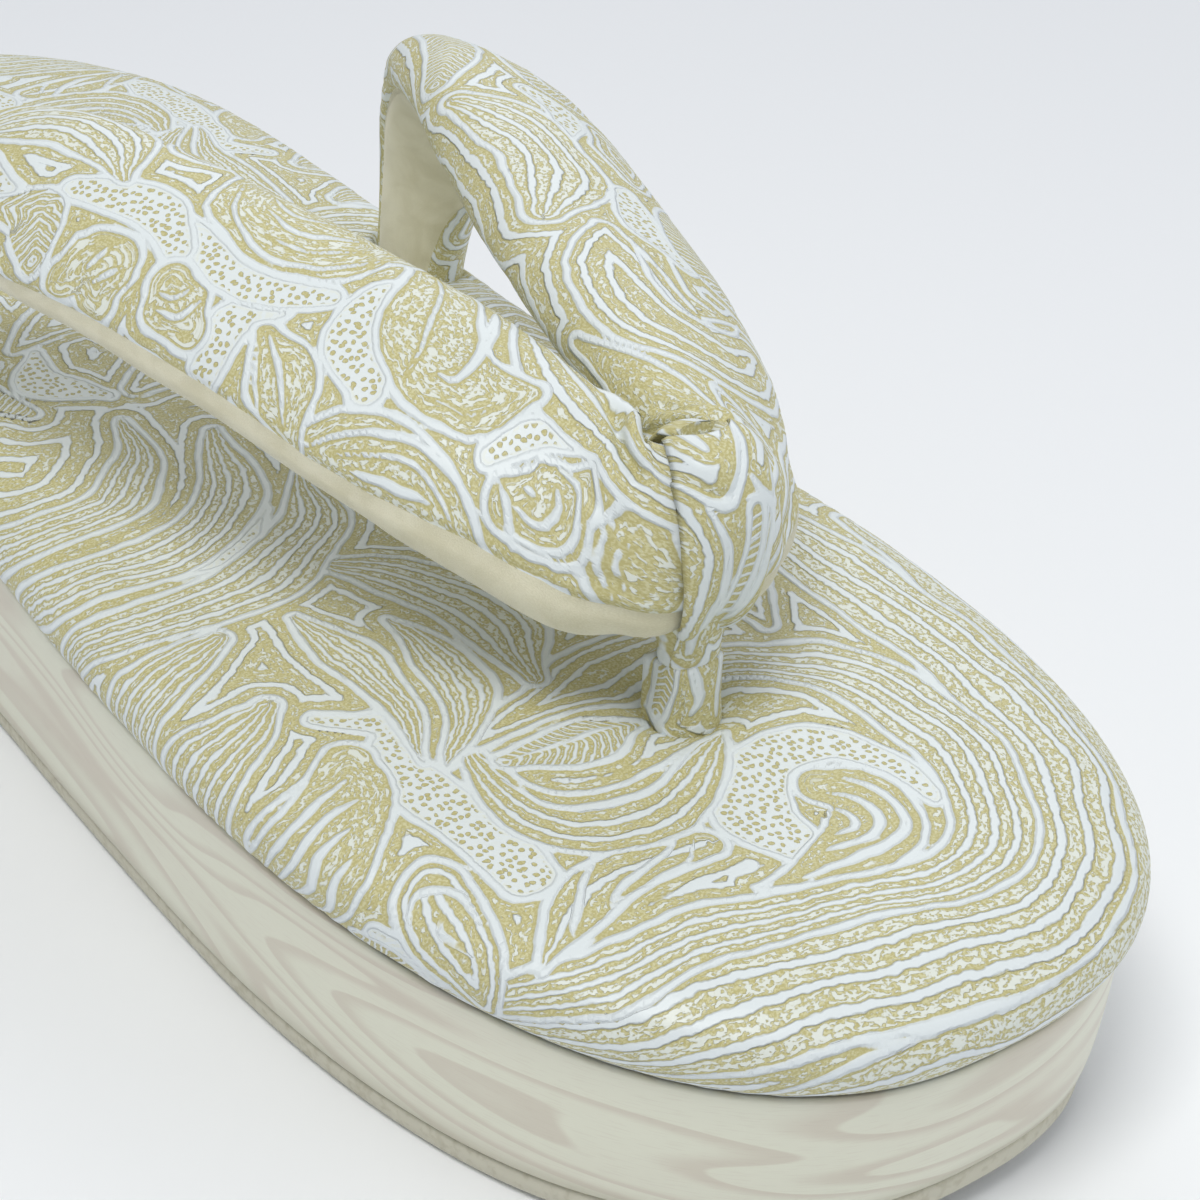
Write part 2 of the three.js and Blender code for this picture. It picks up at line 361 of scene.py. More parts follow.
Chart = list[Motif | Vein]
BANDS, RINGS, COMB, CHEVRON, STIPPLE = tuple(Strokes)
PLAIN = 12.0  # a pitch so wide that only the outline and the veins are white


class HideField:
    """The print's motifs, laid over points that are placed on the flat hide.

    What no motif covers is filled with bands that echo the outlines round it.
    """

    REACH = 9.0  # how far out an outline is echoed
    VEIN_RIM = 0.55  # how much of a vein's edge the outline's own white makes
    VEIN_TAPER = 0.35  # of its length, at each end
    ECHO_PITCH = 3.0
    ECHO_FILL = 0.62
    ECHO_RIM = 0.1
    FIRST_WHITE = 0.18  # how far a ring's white lies from the outline, in pitches
    WANDER = ((15.0, 0.5, 21, 23), (4.2, 0.1, 22, 24))  # wavelength, reach and seeds
    APART = 37.3  # between two motifs' engravings

    def __init__(self, place: np.ndarray) -> None:
        """Starts with bare ground.

        Args:
            place: Each point's place on the hide, in millimetres.
        """
        self.flat = np.asarray(place, float)
        x, y = self.flat.T
        self.place = self.flat.copy()
        for wave, reach, *seeds in self.WANDER:
            for axis, seed in enumerate(seeds):
                self.place[:, axis] += reach * ripple(x / wave, y / wave, seed)
        count = len(self.place)
        self.depth = np.full(count, self.REACH)
        self.inside = np.zeros(count)
        self.stippled = np.zeros(count)
        self.across = np.zeros(count)
        self.along = np.zeros(count)
        self.pitch = np.full(count, 2.0)
        self.fill = np.zeros(count)
        self.drift = np.zeros(count)

    def nearest(
        self, spine: Line, reach: float
    ) -> tuple[np.ndarray, np.ndarray, np.ndarray, np.ndarray, float]:
        """Finds the points near a spine.

        Args:
            spine: The spine's knots.
            reach: How far from it to look.

        Returns:
            The points' numbers, their distances from the spine, how far along it they are,
            their sides, and the spine's length.
        """
        knots = np.asarray(spine, float)
        length = np.linalg.norm(np.diff(knots, axis=0), axis=1).sum()
        line = spline(knots, np.linspace(0, 1, max(8, int(length / 1.2))))
        near = (self.place > line.min(0) - reach) & (self.place < line.max(0) + reach)
        chosen = np.flatnonzero(near.all(1))
        return chosen, *beside(self.place[chosen], line)

    def draw_vein(self, vein: Vein) -> None:
        """Lays one raised stroke over what is there.

        Args:
            vein: The stroke.
        """
        chosen, distance, along, _, length = self.nearest(vein.spine, vein.wide + self.REACH)
        taper = np.minimum(along, length - along) / (self.VEIN_TAPER * length)
        taper = np.clip(taper, 0, 1) ** 0.5
        rim = distance + self.VEIN_RIM - 0.5 * vein.wide * (0.35 + 0.65 * taper)
        closer = (rim < self.depth[chosen]) & (self.inside[chosen] == 0)
        self.along[chosen[closer]] = along[closer]
        self.depth[chosen] = np.minimum(self.depth[chosen], rim)

    def draw_motif(self, motif: Motif, index: int) -> None:
        """Lays one motif over what is there.

        Args:
            motif: The motif.
            index: Its number in the chart, so that no two share their engraving.
        """
        chosen, distance, along, side, length = self.nearest(
            motif.spine, max(motif.half) + self.REACH
        )
        steps = np.linspace(0, 1, 60)
        table = spline([(h, 0) for h in motif.half], steps)[:, 0]
        half = np.maximum(np.interp(along / length, steps, table), 0.05)
        depth = half - distance
        within = depth > 0
        inner, outer = chosen[within], chosen[~within]
        offset = self.APART * index
        nearer = (-depth[~within] < self.depth[outer]) & (self.inside[outer] == 0)
        self.along[outer[nearer]] = along[~within][nearer] + offset
        self.depth[inner] = depth[within]
        self.depth[outer] = np.minimum(self.depth[outer], -depth[~within])
        self.inside[inner] = motif.strokes is not STIPPLE
        self.stippled[inner] = motif.strokes is STIPPLE
        self.fill[inner] = motif.fill
        signed, run = (distance * side)[within], along[within]
        if motif.strokes is BANDS:
            count = motif.bands or max(1, round(max(motif.half) / motif.pitch))
            pitch = half[within] / count
            self.across[inner] = signed / pitch + 0.5
            self.along[inner] = run + offset
            self.pitch[inner] = pitch
            return
        self.pitch[inner] = motif.pitch
        if motif.strokes is RINGS:
            self.across[inner] = depth[within] / motif.pitch - self.FIRST_WHITE
            self.along[inner] = run + 0.4 * signed + offset
        elif motif.strokes is COMB:
            self.across[inner] = run / motif.pitch
            self.along[inner] = signed + offset
        else:
            self.across[inner] = (run + 0.9 * np.abs(signed)) / motif.pitch
            self.along[inner] = 0.7 * run - np.abs(signed) + offset

    def draw(self, chart: Chart) -> "HideField":
        """Lays a whole chart, and fills the ground that it leaves bare.

        Args:
            chart: What is drawn, lowest first.

        Returns:
            The field itself.
        """
        for index, item in enumerate(chart):
            if isinstance(item, Vein):
                self.draw_vein(item)
            else:
                self.draw_motif(item, index)
        echo = (self.inside == 0) & (self.stippled == 0)
        self.along[echo], self.drift[echo] = self.place[echo].T
        self.depth[echo] -= self.ECHO_RIM
        self.across[echo] = self.depth[echo] / self.ECHO_PITCH - self.FIRST_WHITE
        self.pitch[echo], self.fill[echo], self.inside[echo] = self.ECHO_PITCH, self.ECHO_FILL, 1
        return self

    def edge(self) -> np.ndarray:
        """How far inside the nearest outline each point is, negative where it is stippled."""
        return np.where(self.inside > 0, self.depth, -self.depth)

    def relief(self) -> np.ndarray:
        """The embossed height of outlines and broad white bands, 0 to 1."""
        rim = bell(self.depth, 0.75)
        white = 0.5 + 0.5 * np.cos(2 * pi * (self.across - 0.5))
        broad = ease((self.pitch - 1.5) / 0.5) * self.inside * ease(self.depth)
        return np.maximum(rim, broad * white)

    def values(self) -> dict[str, np.ndarray]:
        """The per-point vectors that the printed hide's material reads."""
        flat = np.zeros(len(self.place))
        return {
            "hide_place": np.stack([self.flat[:, 0], self.flat[:, 1], flat], 1),
            "motif_line": np.stack([self.edge(), self.across, self.along], 1),
            "motif_fill": np.stack([self.pitch, self.fill, self.drift], 1),
        }


# x across the sole and y back from the toe tip.
DECK_CHART: Chart = [
    # stippled patches
    Motif(((-5.5, 22.5), (-5.5, 28), (0, 33.6), (7, 33), (10, 27), (10.4, 21)),
          (2.5, 3.6, 3.2, 3, 2, 1)),
    Motif(((-28, 31), (-27.6, 38), (-28.6, 45), (-28, 52), (-26, 57), (-31, 62)),
          (2.6, 3.2, 3, 2.4, 1.6, 1)),
    Motif(((-42, 26), (-41, 31), (-41.5, 36)), (1.2, 1.9, 1.2)),
    Motif(((6, 88), (0, 97), (-2, 106)), (1, 3, 1.4)),
    Motif(((19, 112), (24, 106), (22, 100)), (1, 3, 1)),
    Motif(((31, 64), (27, 73), (26, 84)), (1, 3, 1.4)),
    Motif(((-30, 92), (-22, 93), (-16, 99)), (1, 2, 1)),
    # long sweeps round the toe
    Motif(((-48, 27), (-36, 15), (-20, 8.5), (-6, 5), (6, 3.5), (16, 7.5), (24.5, 18), (29, 32),
           (30, 50), (29, 70), (24, 90)), (2, 4.5, 5.5, 5.5, 5, 5.2, 5.6, 5.6, 5.6, 5, 2),
          BANDS, 2.6, 0.5, 2),
    Motif(((-30, -2), (-16, -3), (-2, -5.5), (12, -4.5), (24, 3), (32, 14), (37, 28), (39, 46),
           (40, 66)), (2, 3, 4, 4.6, 4.6, 4.6, 4, 3.5, 2), BANDS, 3, 0.5, 1),
    Motif(((-44, 28), (-32, 19.5), (-18, 16.5), (-6, 14), (4, 11.8), (12, 15), (17, 24),
           (18.5, 34), (16, 43), (8, 49), (-2, 50)),
          (0.6, 2.6, 3.4, 3.2, 3, 3.6, 4.2, 4.8, 4.6, 3, 0.6), BANDS, 2.6, 0.5, 2),
    # the scroll's head
    Motif(((-12, 19.6), (-6, 19), (0, 19.4), (3.6, 21.8), (4.2, 25.8), (2.6, 28)),
          (0.3, 1.6, 3.2, 4.4, 4.2, 2.6), RINGS, PLAIN, 0.66),
    Vein(((-8, 18.6), (0, 17.6), (5.2, 19.8), (6.4, 24), (4.8, 28)), 1.5),
    Vein(((-4, 19.8), (1, 19.4), (3.9, 22), (3.8, 25.4), (2.4, 27)), 1.4),
    Vein(((-2, 21.2), (0.8, 21.4), (1.7, 23.4), (0.9, 25.2)), 1.2),
    # wing petal
    Motif(((-33, 22.5), (-26, 26), (-19, 27.3), (-12, 27)), (0.4, 2.6, 3.1, 2.2), BANDS, 2, 0.6, 1),
    Vein(((-29, 23.5), (-25, 27), (-21.5, 30)), 1.2),
    Vein(((-24, 24.4), (-18.5, 26.6), (-14, 29)), 1.3),
    Vein(((-20, 24.4), (-15.5, 25.4), (-12.6, 28)), 0.9),
    # broad leaf and the small one in it
    Motif(((-21.5, 49), (-23, 42), (-20, 35.5), (-13, 33.5), (-6, 36), (1, 40.4)),
          (1.4, 3, 4.4, 4.4, 2.6, 0.4), BANDS, 2, 0.6, 2),
    Vein(((-22, 45), (-20, 38.5), (-13, 35.8), (-6, 38), (0, 41)), 1.4),
    Motif(((-19.5, 46.8), (-12, 44.6), (-4.6, 46.4)), (1.2, 3.1, 0.5), CHEVRON, 0.95, 0.5),
    Vein(((-19, 46.8), (-12, 45.2), (-6, 46.2)), 0.9),
    # leaves behind the post
    Motif(((-22, 50), (-13, 52.2), (-4, 54), (5, 55)), (0.5, 3, 4.6, 4), RINGS, 1.9, 0.7),
    Motif(((-25, 48.6), (-19, 54), (-15.5, 62), (-16, 73)), (0.4, 2.4, 2.9, 0.6), BANDS, 1.6,
          0.45, 2),
    Motif(((-26.4, 50), (-24, 58), (-22.5, 67), (-24, 78)), (0.4, 1.9, 2.8, 0.8), BANDS, 1.6,
          0.45, 2),
    Motif(((-10, 57), (-7, 66), (-9, 77), (-16, 86)), (1.5, 4.4, 4.4, 1), BANDS, 2, 0.5, 2),
    # drop with nested crescents
    Motif(((-35.4, 35.2), (-36.6, 30), (-40, 23)), (3.3, 3.9, 1.6), RINGS, 1.7, 0.6),
    Vein(((-33.8, 29), (-34, 34), (-36.5, 36), (-38, 33.6)), 1.1),
    Vein(((-36.5, 27.5), (-36.8, 31.2), (-35.6, 32.6)), 1),
    Motif(((-46, 27), (-43.6, 32), (-44.5, 37)), (1.6, 2.4, 1.2), COMB, 0.8, 0.55),
    # ribbed shells along the side
    Motif(((-49, 47), (-41, 47.4), (-35, 50.2), (-31.4, 54.6)), (6.6, 7.2, 5.6, 2.6), RINGS,
          PLAIN, 0.58),
    Vein(((-47, 43.4), (-44.4, 41.6), (-41, 43.2), (-38.2, 43.6)), 1.3),
    Vein(((-47, 46.2), (-43.5, 44.6), (-40, 46.4), (-36.2, 46.6)), 1.4),
    Vein(((-47.5, 48.6), (-42, 47.8), (-38, 49.2), (-33.6, 49.6)), 1.4),
    Vein(((-47.5, 51), (-42, 50.4), (-37.5, 51.4), (-33.4, 52.2)), 1.3),
    Vein(((-47, 53.4), (-41, 52.8), (-36.4, 54)), 1.2),
    Motif(((-34, 66.5), (-39.5, 64), (-50, 63)), (1.6, 5.4, 6.8), BANDS, 2, 0.6, 3),
    Motif(((-32, 79), (-39, 76.8), (-50, 76)), (1.6, 4.6, 5.6), BANDS, 2, 0.55, 3),
    # feathers further back
    Motif(((-47, 92), (-36, 86), (-24, 86), (-13, 93), (-7, 105)), (2.4, 3.8, 4.4, 4.2, 1),
          BANDS, 2, 0.5, 2),
    Motif(((-47, 104), (-38, 96.5), (-27, 96), (-17, 103), (-12, 116)), (2, 3.6, 4.2, 3.6, 1),
          BANDS, 2, 0.5, 2),
    Motif(((-47, 116), (-39, 107.5), (-30, 107), (-23, 113), (-20, 122)), (2, 3, 3.6, 3, 1),
          BANDS, 2, 0.5, 2),
    Motif(((2, 64), (4, 74), (2, 86), (-4, 97)), (1.2, 3.9, 4.6, 1), BANDS, 2, 0.5, 2),
    Motif(((16, 52), (19, 62), (17, 74), (10, 84)), (0.8, 4.2, 4.8, 1.4), RINGS, 2, 0.6),
    Motif(((24, 98), (15, 94), (8, 99), (8, 108), (15, 112)), (1, 4, 4.8, 4.4, 2), RINGS, 2.1,
          0.6),
    Motif(((36, 78), (33, 88), (34, 100), (28, 112)), (1.4, 3.8, 4.2, 1.2), COMB, 0.9, 0.5),
    Motif(((0, 104), (-4, 111), (2, 119)), (1, 3.6, 1), CHEVRON, 0.95, 0.5),
]

# Along an arm from the nose, and across it from the middle of its crown, plus towards its
# inner edge.
NEAR_ARM_CHART: Chart = [
    Motif(((14.6, 4.6), (17.6, 2.6), (19.6, -1.6)), (1, 1.8, 1.2)),
    Motif(((33, -4.6), (37, -1), (38.6, 4), (38, 8)), (1.6, 3.4, 3.2, 1.6)),
    Motif(((48.5, -12), (48.8, -7), (47, -3)), (2, 2.2, 2)),
    Motif(((43.5, 1), (48, -1.5), (56, -1.4), (63, 0)), (1.4, 2.2, 2, 1.4)),
    Motif(((60, -3), (67, 0.6), (75, -1.6)), (1.6, 3, 1.8)),
    Motif(((82, -4), (88, -1), (96, -3)), (1.4, 2.4, 1.4)),
    Motif(((112, 2), (116, -2), (120, -4)), (1.4, 2.4, 1.4)),
    Motif(((5, -7.6), (5.6, -3), (4.8, 2.4)), (1.6, 3.4, 1.8), RINGS, PLAIN, 0.6),
    Vein(((6.2, -6.4), (7.6, -2.6), (6.4, 1.6)), 0.9),
    Vein(((5.6, -5), (6.3, -2.2), (5.4, 0.6)), 0.8),
    Motif(((15.4, -3.4), (12.8, -2), (10.6, 1.4)), (2.6, 4.3, 2.6), RINGS, PLAIN, 0.54),
    Vein(((15.4, -5.2), (11.4, -4.8), (9.6, -1.6), (11, 1.8), (13.8, 1.6)), 1.2),
    Vein(((15, -3.2), (12.8, -3.2), (11.8, -1), (12.8, 0.4)), 1),
    Vein(((15.2, -1.6), (13.8, -1.2)), 0.9),
    Motif(((3, 5.2), (9, 7), (17, 7), (24, 9.4), (29, 15)), (2, 2.2, 2.6, 2.4, 1.6), BANDS, 1.6,
          0.6, 1),
    Motif(((15.2, -12), (21, -10), (28, -9.6), (35.6, -12.6)), (3, 4.6, 4.8, 1.6), RINGS,
          PLAIN, 0.54),
    Vein(((17.4, -10), (20.6, -7.8), (26, -7.7), (31.6, -11)), 0.9),
    Vein(((15.4, -8), (19, -5.8), (25, -5.6), (30, -7.4), (34.4, -12)), 1.2),
    Vein(((21, -9), (24, -9.9), (29.4, -11.4)), 1.3),
    Vein(((13.6, -6.4), (15.4, -3.6), (17.4, -2.6)), 1.1),
    Motif(((20.4, 5.8), (24.4, 2), (29, 1.4), (34.4, 6), (38.4, 12)), (1.2, 4.6, 5, 4.4, 3),
          RINGS, PLAIN, 0.54),
    Vein(((28.8, 0.8), (27, 1.2), (26.8, 4), (28.4, 7.4), (31.6, 12)), 1.5),
    Vein(((31.4, -1.4), (32.6, 3.2), (36.4, 8.4), (39.6, 13)), 0.8),
    Vein(((22, 2.6), (23.6, -0.2), (28, -2)), 0.6),
    Motif(((36.4, -12.6), (40, -9), (45.2, -5.6)), (1.6, 4, 1.2), RINGS, PLAIN, 0.54),
    Vein(((37.6, -12), (41.4, -8), (45, -5.6)), 1),
    Vein(((41, -12.4), (43.4, -9.6), (44.8, -7)), 0.8),
    Motif(((43.4, 12.6), (50, 8.6), (56, 8.6), (63, 13)), (2.4, 7.6, 7.6, 2.4), RINGS, PLAIN, 0.54),
    Vein(((43, 10), (47, 3.6), (52.6, 2), (58.6, 4), (62.6, 9.6)), 1.1),
    Vein(((47.4, 11), (52, 6.4), (57, 7.6)), 1.1),
    Vein(((45.4, 9.8), (49.6, 4.8), (54.6, 4.1)), 0.8),
    Vein(((50.4, 12), (54, 8.8), (58.8, 10.4)), 0.9),
    Motif(((52.6, -9), (55.4, -7.4), (57.6, -5.8)), (2.6, 4, 2.6), RINGS, PLAIN, 0.54),
    Vein(((53, -5.6), (54.2, -8.6), (57, -8.8)), 1.1),
    Vein(((55, -5), (56, -7), (58, -7.2)), 0.9),
    Motif(((64, -11), (66, -8), (68.6, -10.6)), (2.4, 4.4, 2.6), RINGS, PLAIN, 0.54),
    Vein(((63.6, -7), (65.4, -9.6)), 1),
    Vein(((66.4, -5.6), (67, -9)), 1),
    Motif(((74, -10), (77, -6), (81, -6.6)), (2, 3.4, 1.6), CHEVRON, 0.95, 0.5),
    Motif(((71, 2.4), (77, 6.6), (84, 7.6), (92, 3)), (0.8, 4.6, 5, 1), BANDS, 2, 0.5, 2),
    Motif(((66, 14), (70, 11.6), (74, 14)), (1.5, 2.4, 1.5), RINGS, 1.5, 0.6),
    Motif(((86, -10), (91, -6), (97, -7.6)), (2.6, 4.6, 2), RINGS, 1.8, 0.6),
    Vein(((87, -6.6), (89.6, -10)), 1.1),
    Vein(((91.6, -4.6), (92.6, -9)), 1.1),
    Motif(((95, 10.6), (100, 3.4), (107, 1.8), (114, 6)), (3, 5, 4.6, 1.4), COMB, 1, 0.55),
    Vein(((97, 8), (102, 4), (110, 3.4)), 1.2),
    Motif(((103, -9), (110, -6), (118, -8)), (2.6, 4.2, 2), BANDS, 2, 0.5, 2),
    Motif(((118, 8), (123, 2), (130, 3)), (3, 4.4, 2), RINGS, 1.8, 0.6),
    Motif(((124, -8), (131, -6)), (3, 2.6), CHEVRON, 0.95, 0.5),
]
FAR_ARM_CHART: Chart = [
    Motif(((38, -4), (45, -2), (52, -2)), (1.4, 2.6, 1.6)),
    Motif(((64, 0), (70, -1), (74, 2)), (1.4, 2.4, 1.4)),
    Motif(((88, 3), (94, 6), (98, 12)), (1, 2.2, 1.4)),
    Motif(((4, 12), (12, 11), (19, 12), (26, 14.6)), (4, 4, 2.6, 0.8), RINGS, 7, 0.62),
    Motif(((43, 3.6), (34, 6), (26, 4.6), (22.4, -1), (25, -6.6)), (1.4, 5, 6.4, 6, 4.6), RINGS,
          2.6, 0.6),
    Vein(((41, 1.6), (33, 2.8), (27.6, 0.4), (27, -4.4), (30.6, -7.2)), 1.3),
    Vein(((38, -1.6), (33, -1.4), (30.6, -3.8)), 1.2),
    Motif(((4, -9), (9, -6), (15, -8)), (3, 4, 1.6), RINGS, 1.6, 0.6),
    Motif(((5, 3), (10, 3), (15.6, 4.4)), (1.6, 2.8, 0.8), CHEVRON, 0.95, 0.5),
    Motif(((34, -11.6), (40, -8), (48, -9), (55, -12)), (1.6, 3.6, 3.6, 1), COMB, 0.9, 0.55),
    Motif(((46, 9.6), (54, 5), (63, 5.4), (71, 11)), (2.4, 5.6, 5.6, 2), BANDS, 2, 0.5, 2),
    Motif(((57, -6), (63, -7), (69, -5.6)), (2, 4, 1.6), RINGS, 1.7, 0.6),
    Motif(((75, -10), (80, -3), (87, -2), (95, -7)), (2, 4.4, 4.6, 1), COMB, 0.9, 0.55),
    Vein(((76, -6), (82, -1.6), (92, -4)), 1.1),
    Motif(((77, 12), (84, 8), (92, 8.6)), (2, 3.4, 1.4), CHEVRON, 0.95, 0.5),
    Motif(((96, 6), (103, 2), (111, 5)), (2, 5, 1.4), RINGS, 1.9, 0.6),
    Motif(((99, -10), (106, -8), (115, -9)), (2, 3, 1.4), BANDS, 2, 0.6, 1),
    Motif(((115, 3), (122, 0), (130, 2)), (2, 4.6, 2), COMB, 1, 0.55),
]
# x across the band and y up from its lower end.
BAND_CHART: Chart = [
    Motif(((1.5, 12.6), (1.7, 8), (0.9, 1)), (1, 1.1, 0.8), COMB, 1.15, 0.7),
    Motif(((5.2, 14), (5.6, 8)), (1, 1), COMB, 1, 0.6),
    Vein(((-5.4, 14.7), (-1.9, 13.5), (0.4, 16.4), (3.4, 22.5)), 1.5),
    Vein(((-3.8, 13.2), (-1.8, 8), (-0.9, 2), (-1.6, -4)), 1.6),
    Vein(((1.2, 15.6), (3.9, 11), (3.7, 5), (1.2, -2)), 1.3),
    Vein(((-3.4, 22), (-2, 18)), 1.3),
    Vein(((0.4, 14), (2.6, 13.6)), 0.8),
    Vein(((0.3, 9.6), (2.8, 9.2)), 0.7),
]
# round the sleeve and y up from its foot.
SLEEVE_CHART: Chart = [
    Motif(((-3.6, 3.4), (-3.4, 8), (-3.8, 13)), (1, 1.6, 1), CHEVRON, 0.9, 0.6),
    Vein(((-1, 15), (0.2, 10), (1.4, 5.6), (0.6, 4)), 1.5),
    Vein(((-5.2, 3.6), (-1, 0.8), (3, -1)), 1.4),
    Vein(((3.6, 15), (3.9, 9), (3, 3)), 1.2),
    Motif(((7, 2), (8, 8), (6.6, 14)), (1.2, 2, 1.2), BANDS, 1.6, 0.5, 1),
    Motif(((-8.4, 2), (-8, 8), (-8.6, 14)), (1.2, 1.7, 1.2), RINGS, 1.6, 0.5),
]


# ---- finishes ----
Socket = bpy.types.NodeSocket
Triple = tuple[float, float, float]
Colour = Triple


def linear(red: float, green: float, blue: float) -> Colour:
    """A colour of 0..255 display values as linear light."""
    return tuple(((c / 255 + 0.055) / 1.055) ** 2.4 for c in (red, green, blue))


class Wiring:
    """One material's nodes, with short ways to add and join them."""

    def __init__(self, name: str) -> None:
        """Starts a material with only its shader and output."""
        self.material = bpy.data.materials.new(name)
        self.material.use_nodes = True
        self.tree = self.material.node_tree
        self.tree.nodes.clear()
        output = self.node("ShaderNodeOutputMaterial")
        self.shader = self.node("ShaderNodeBsdfPrincipled")
        self.tree.links.new(self.shader.outputs["BSDF"], output.inputs["Surface"])

    def node(self, kind: str, **settings: object) -> bpy.types.Node:
        """Adds a node and sets its properties."""
        made = self.tree.nodes.new(kind)
        for name, value in settings.items():
            setattr(made, name, value)
        return made

    def feed(self, socket: Socket, value: Socket | float | tuple) -> None:
        """Joins a socket to another, or sets its own value."""
        if isinstance(value, bpy.types.NodeSocket):
            self.tree.links.new(value, socket)
        else:
            socket.default_value = value

    def math(self, operation: str, *values: Socket | float) -> Socket:
        """A sum on one to three values."""
        made = self.node("ShaderNodeMath", operation=operation)
        for socket, value in zip(made.inputs, values):
            self.feed(socket, value)
        return made.outputs[0]

    def times(self, a: Socket, b: Socket | float) -> Socket:
        """The product of two values."""
        return self.math("MULTIPLY", a, b)

    def plus(self, a: Socket, b: Socket | float) -> Socket:
        """The sum of two values."""
        return self.math("ADD", a, b)

    def less(self, a: Socket | float, b: Socket | float) -> Socket:
        """The first value less the second."""
        return self.math("SUBTRACT", a, b)

    def most(self, a: Socket, b: Socket) -> Socket:
        """The greater of two values."""
        return self.math("MAXIMUM", a, b)

    def step(self, value: Socket, low: Socket | float, high: Socket | float) -> Socket:
        """0 below low, 1 above high, and eased between them."""
        made = self.node("ShaderNodeMapRange", interpolation_type="SMOOTHSTEP")
        self.feed(made.inputs["Value"], value)
        self.feed(made.inputs["From Min"], low)
        self.feed(made.inputs["From Max"], high)
        return made.outputs["Result"]

    def mix(self, share: Socket | float, a: Socket | float, b: Socket | float) -> Socket:
        """A number between a and b."""
        made = self.node("ShaderNodeMix", data_type="FLOAT")
        for socket, value in zip((made.inputs[0], made.inputs[2], made.inputs[3]), (share, a, b)):
            self.feed(socket, value)
        return made.outputs[0]

    def blend(self, share: Socket | float, a: Socket | Colour, b: Socket | Colour) -> Socket:
        """A colour between a and b."""
        made = self.node("ShaderNodeMix", data_type="RGBA")
        self.feed(made.inputs[0], share)
        for socket, value in ((made.inputs[6], a), (made.inputs[7], b)):
            self.feed(socket, (*value, 1.0) if isinstance(value, tuple) else value)
        return made.outputs[2]

    def vector(self, name: str) -> Socket:
        """A vector attribute of the mesh."""
        return self.node("ShaderNodeAttribute", attribute_name=name).outputs["Vector"]

    def split(self, vector: Socket) -> list[Socket]:
        """The three parts of a vector."""
        made = self.node("ShaderNodeSeparateXYZ")
        self.feed(made.inputs[0], vector)
        return list(made.outputs)

    def join(self, *parts: Socket | float) -> Socket:
        """A vector from up to three parts."""
        made = self.node("ShaderNodeCombineXYZ")
        for socket, value in zip(made.inputs, parts):
            self.feed(socket, value)
        return made.outputs[0]

    def scaled(self, *parts: tuple[Socket, float]) -> Socket:
        """A vector from up to three parts, each with what it is multiplied by."""
        return self.join(*(self.times(part, factor) for part, factor in parts))

    def stretch(self, vector: Socket, scale: Triple) -> Socket:
        """A vector with each part scaled."""
        made = self.node("ShaderNodeMapping")
        self.feed(made.inputs["Vector"], vector)
        made.inputs["Scale"].default_value = scale
        return made.outputs[0]

    def noise(self, vector: Socket, scale: float, detail: float = 2.0, bend: float = 0.0) -> Socket:
        """Smooth noise, mostly 0.3 to 0.7."""
        made = self.node("ShaderNodeTexNoise")
        self.feed(made.inputs["Vector"], vector)
        for name, value in (("Scale", scale), ("Detail", detail), ("Distortion", bend)):
            made.inputs[name].default_value = value
        return made.outputs[0]

    def specks(self, vector: Socket, scale: float, loose: float = 0.62) -> Socket:
        """The distance to the nearest of a loose grid of specks, in grid steps."""
        made = self.node("ShaderNodeTexVoronoi", voronoi_dimensions="2D")
        self.feed(made.inputs["Vector"], vector)
        made.inputs["Scale"].default_value = scale
        made.inputs["Randomness"].default_value = loose
        return made.outputs["Distance"]

    def bump(
        self, height: Socket, deep: float, strength: float, on: Socket | None = None
    ) -> Socket:
        """A normal from a height.

        Args:
            height: The height, 0 to 1.
            deep: What a height of 1 stands for, in millimetres.
            strength: How much of it shows.
            on: A normal to add to.

        Returns:
            The new normal.
        """
        made = self.node("ShaderNodeBump")
        made.inputs["Strength"].default_value = strength
        made.inputs["Distance"].default_value = deep * MM
        self.feed(made.inputs["Height"], height)
        if on is not None:
            self.feed(made.inputs["Normal"], on)
        return made.outputs[0]

    def finish(self, **values: Socket | float | tuple) -> bpy.types.Material:
        """Sets the shader's inputs, with _ for a space, and returns the material."""
        for name, value in values.items():
            self.feed(self.shader.inputs[name.replace("_", " ")], value)
        return self.material


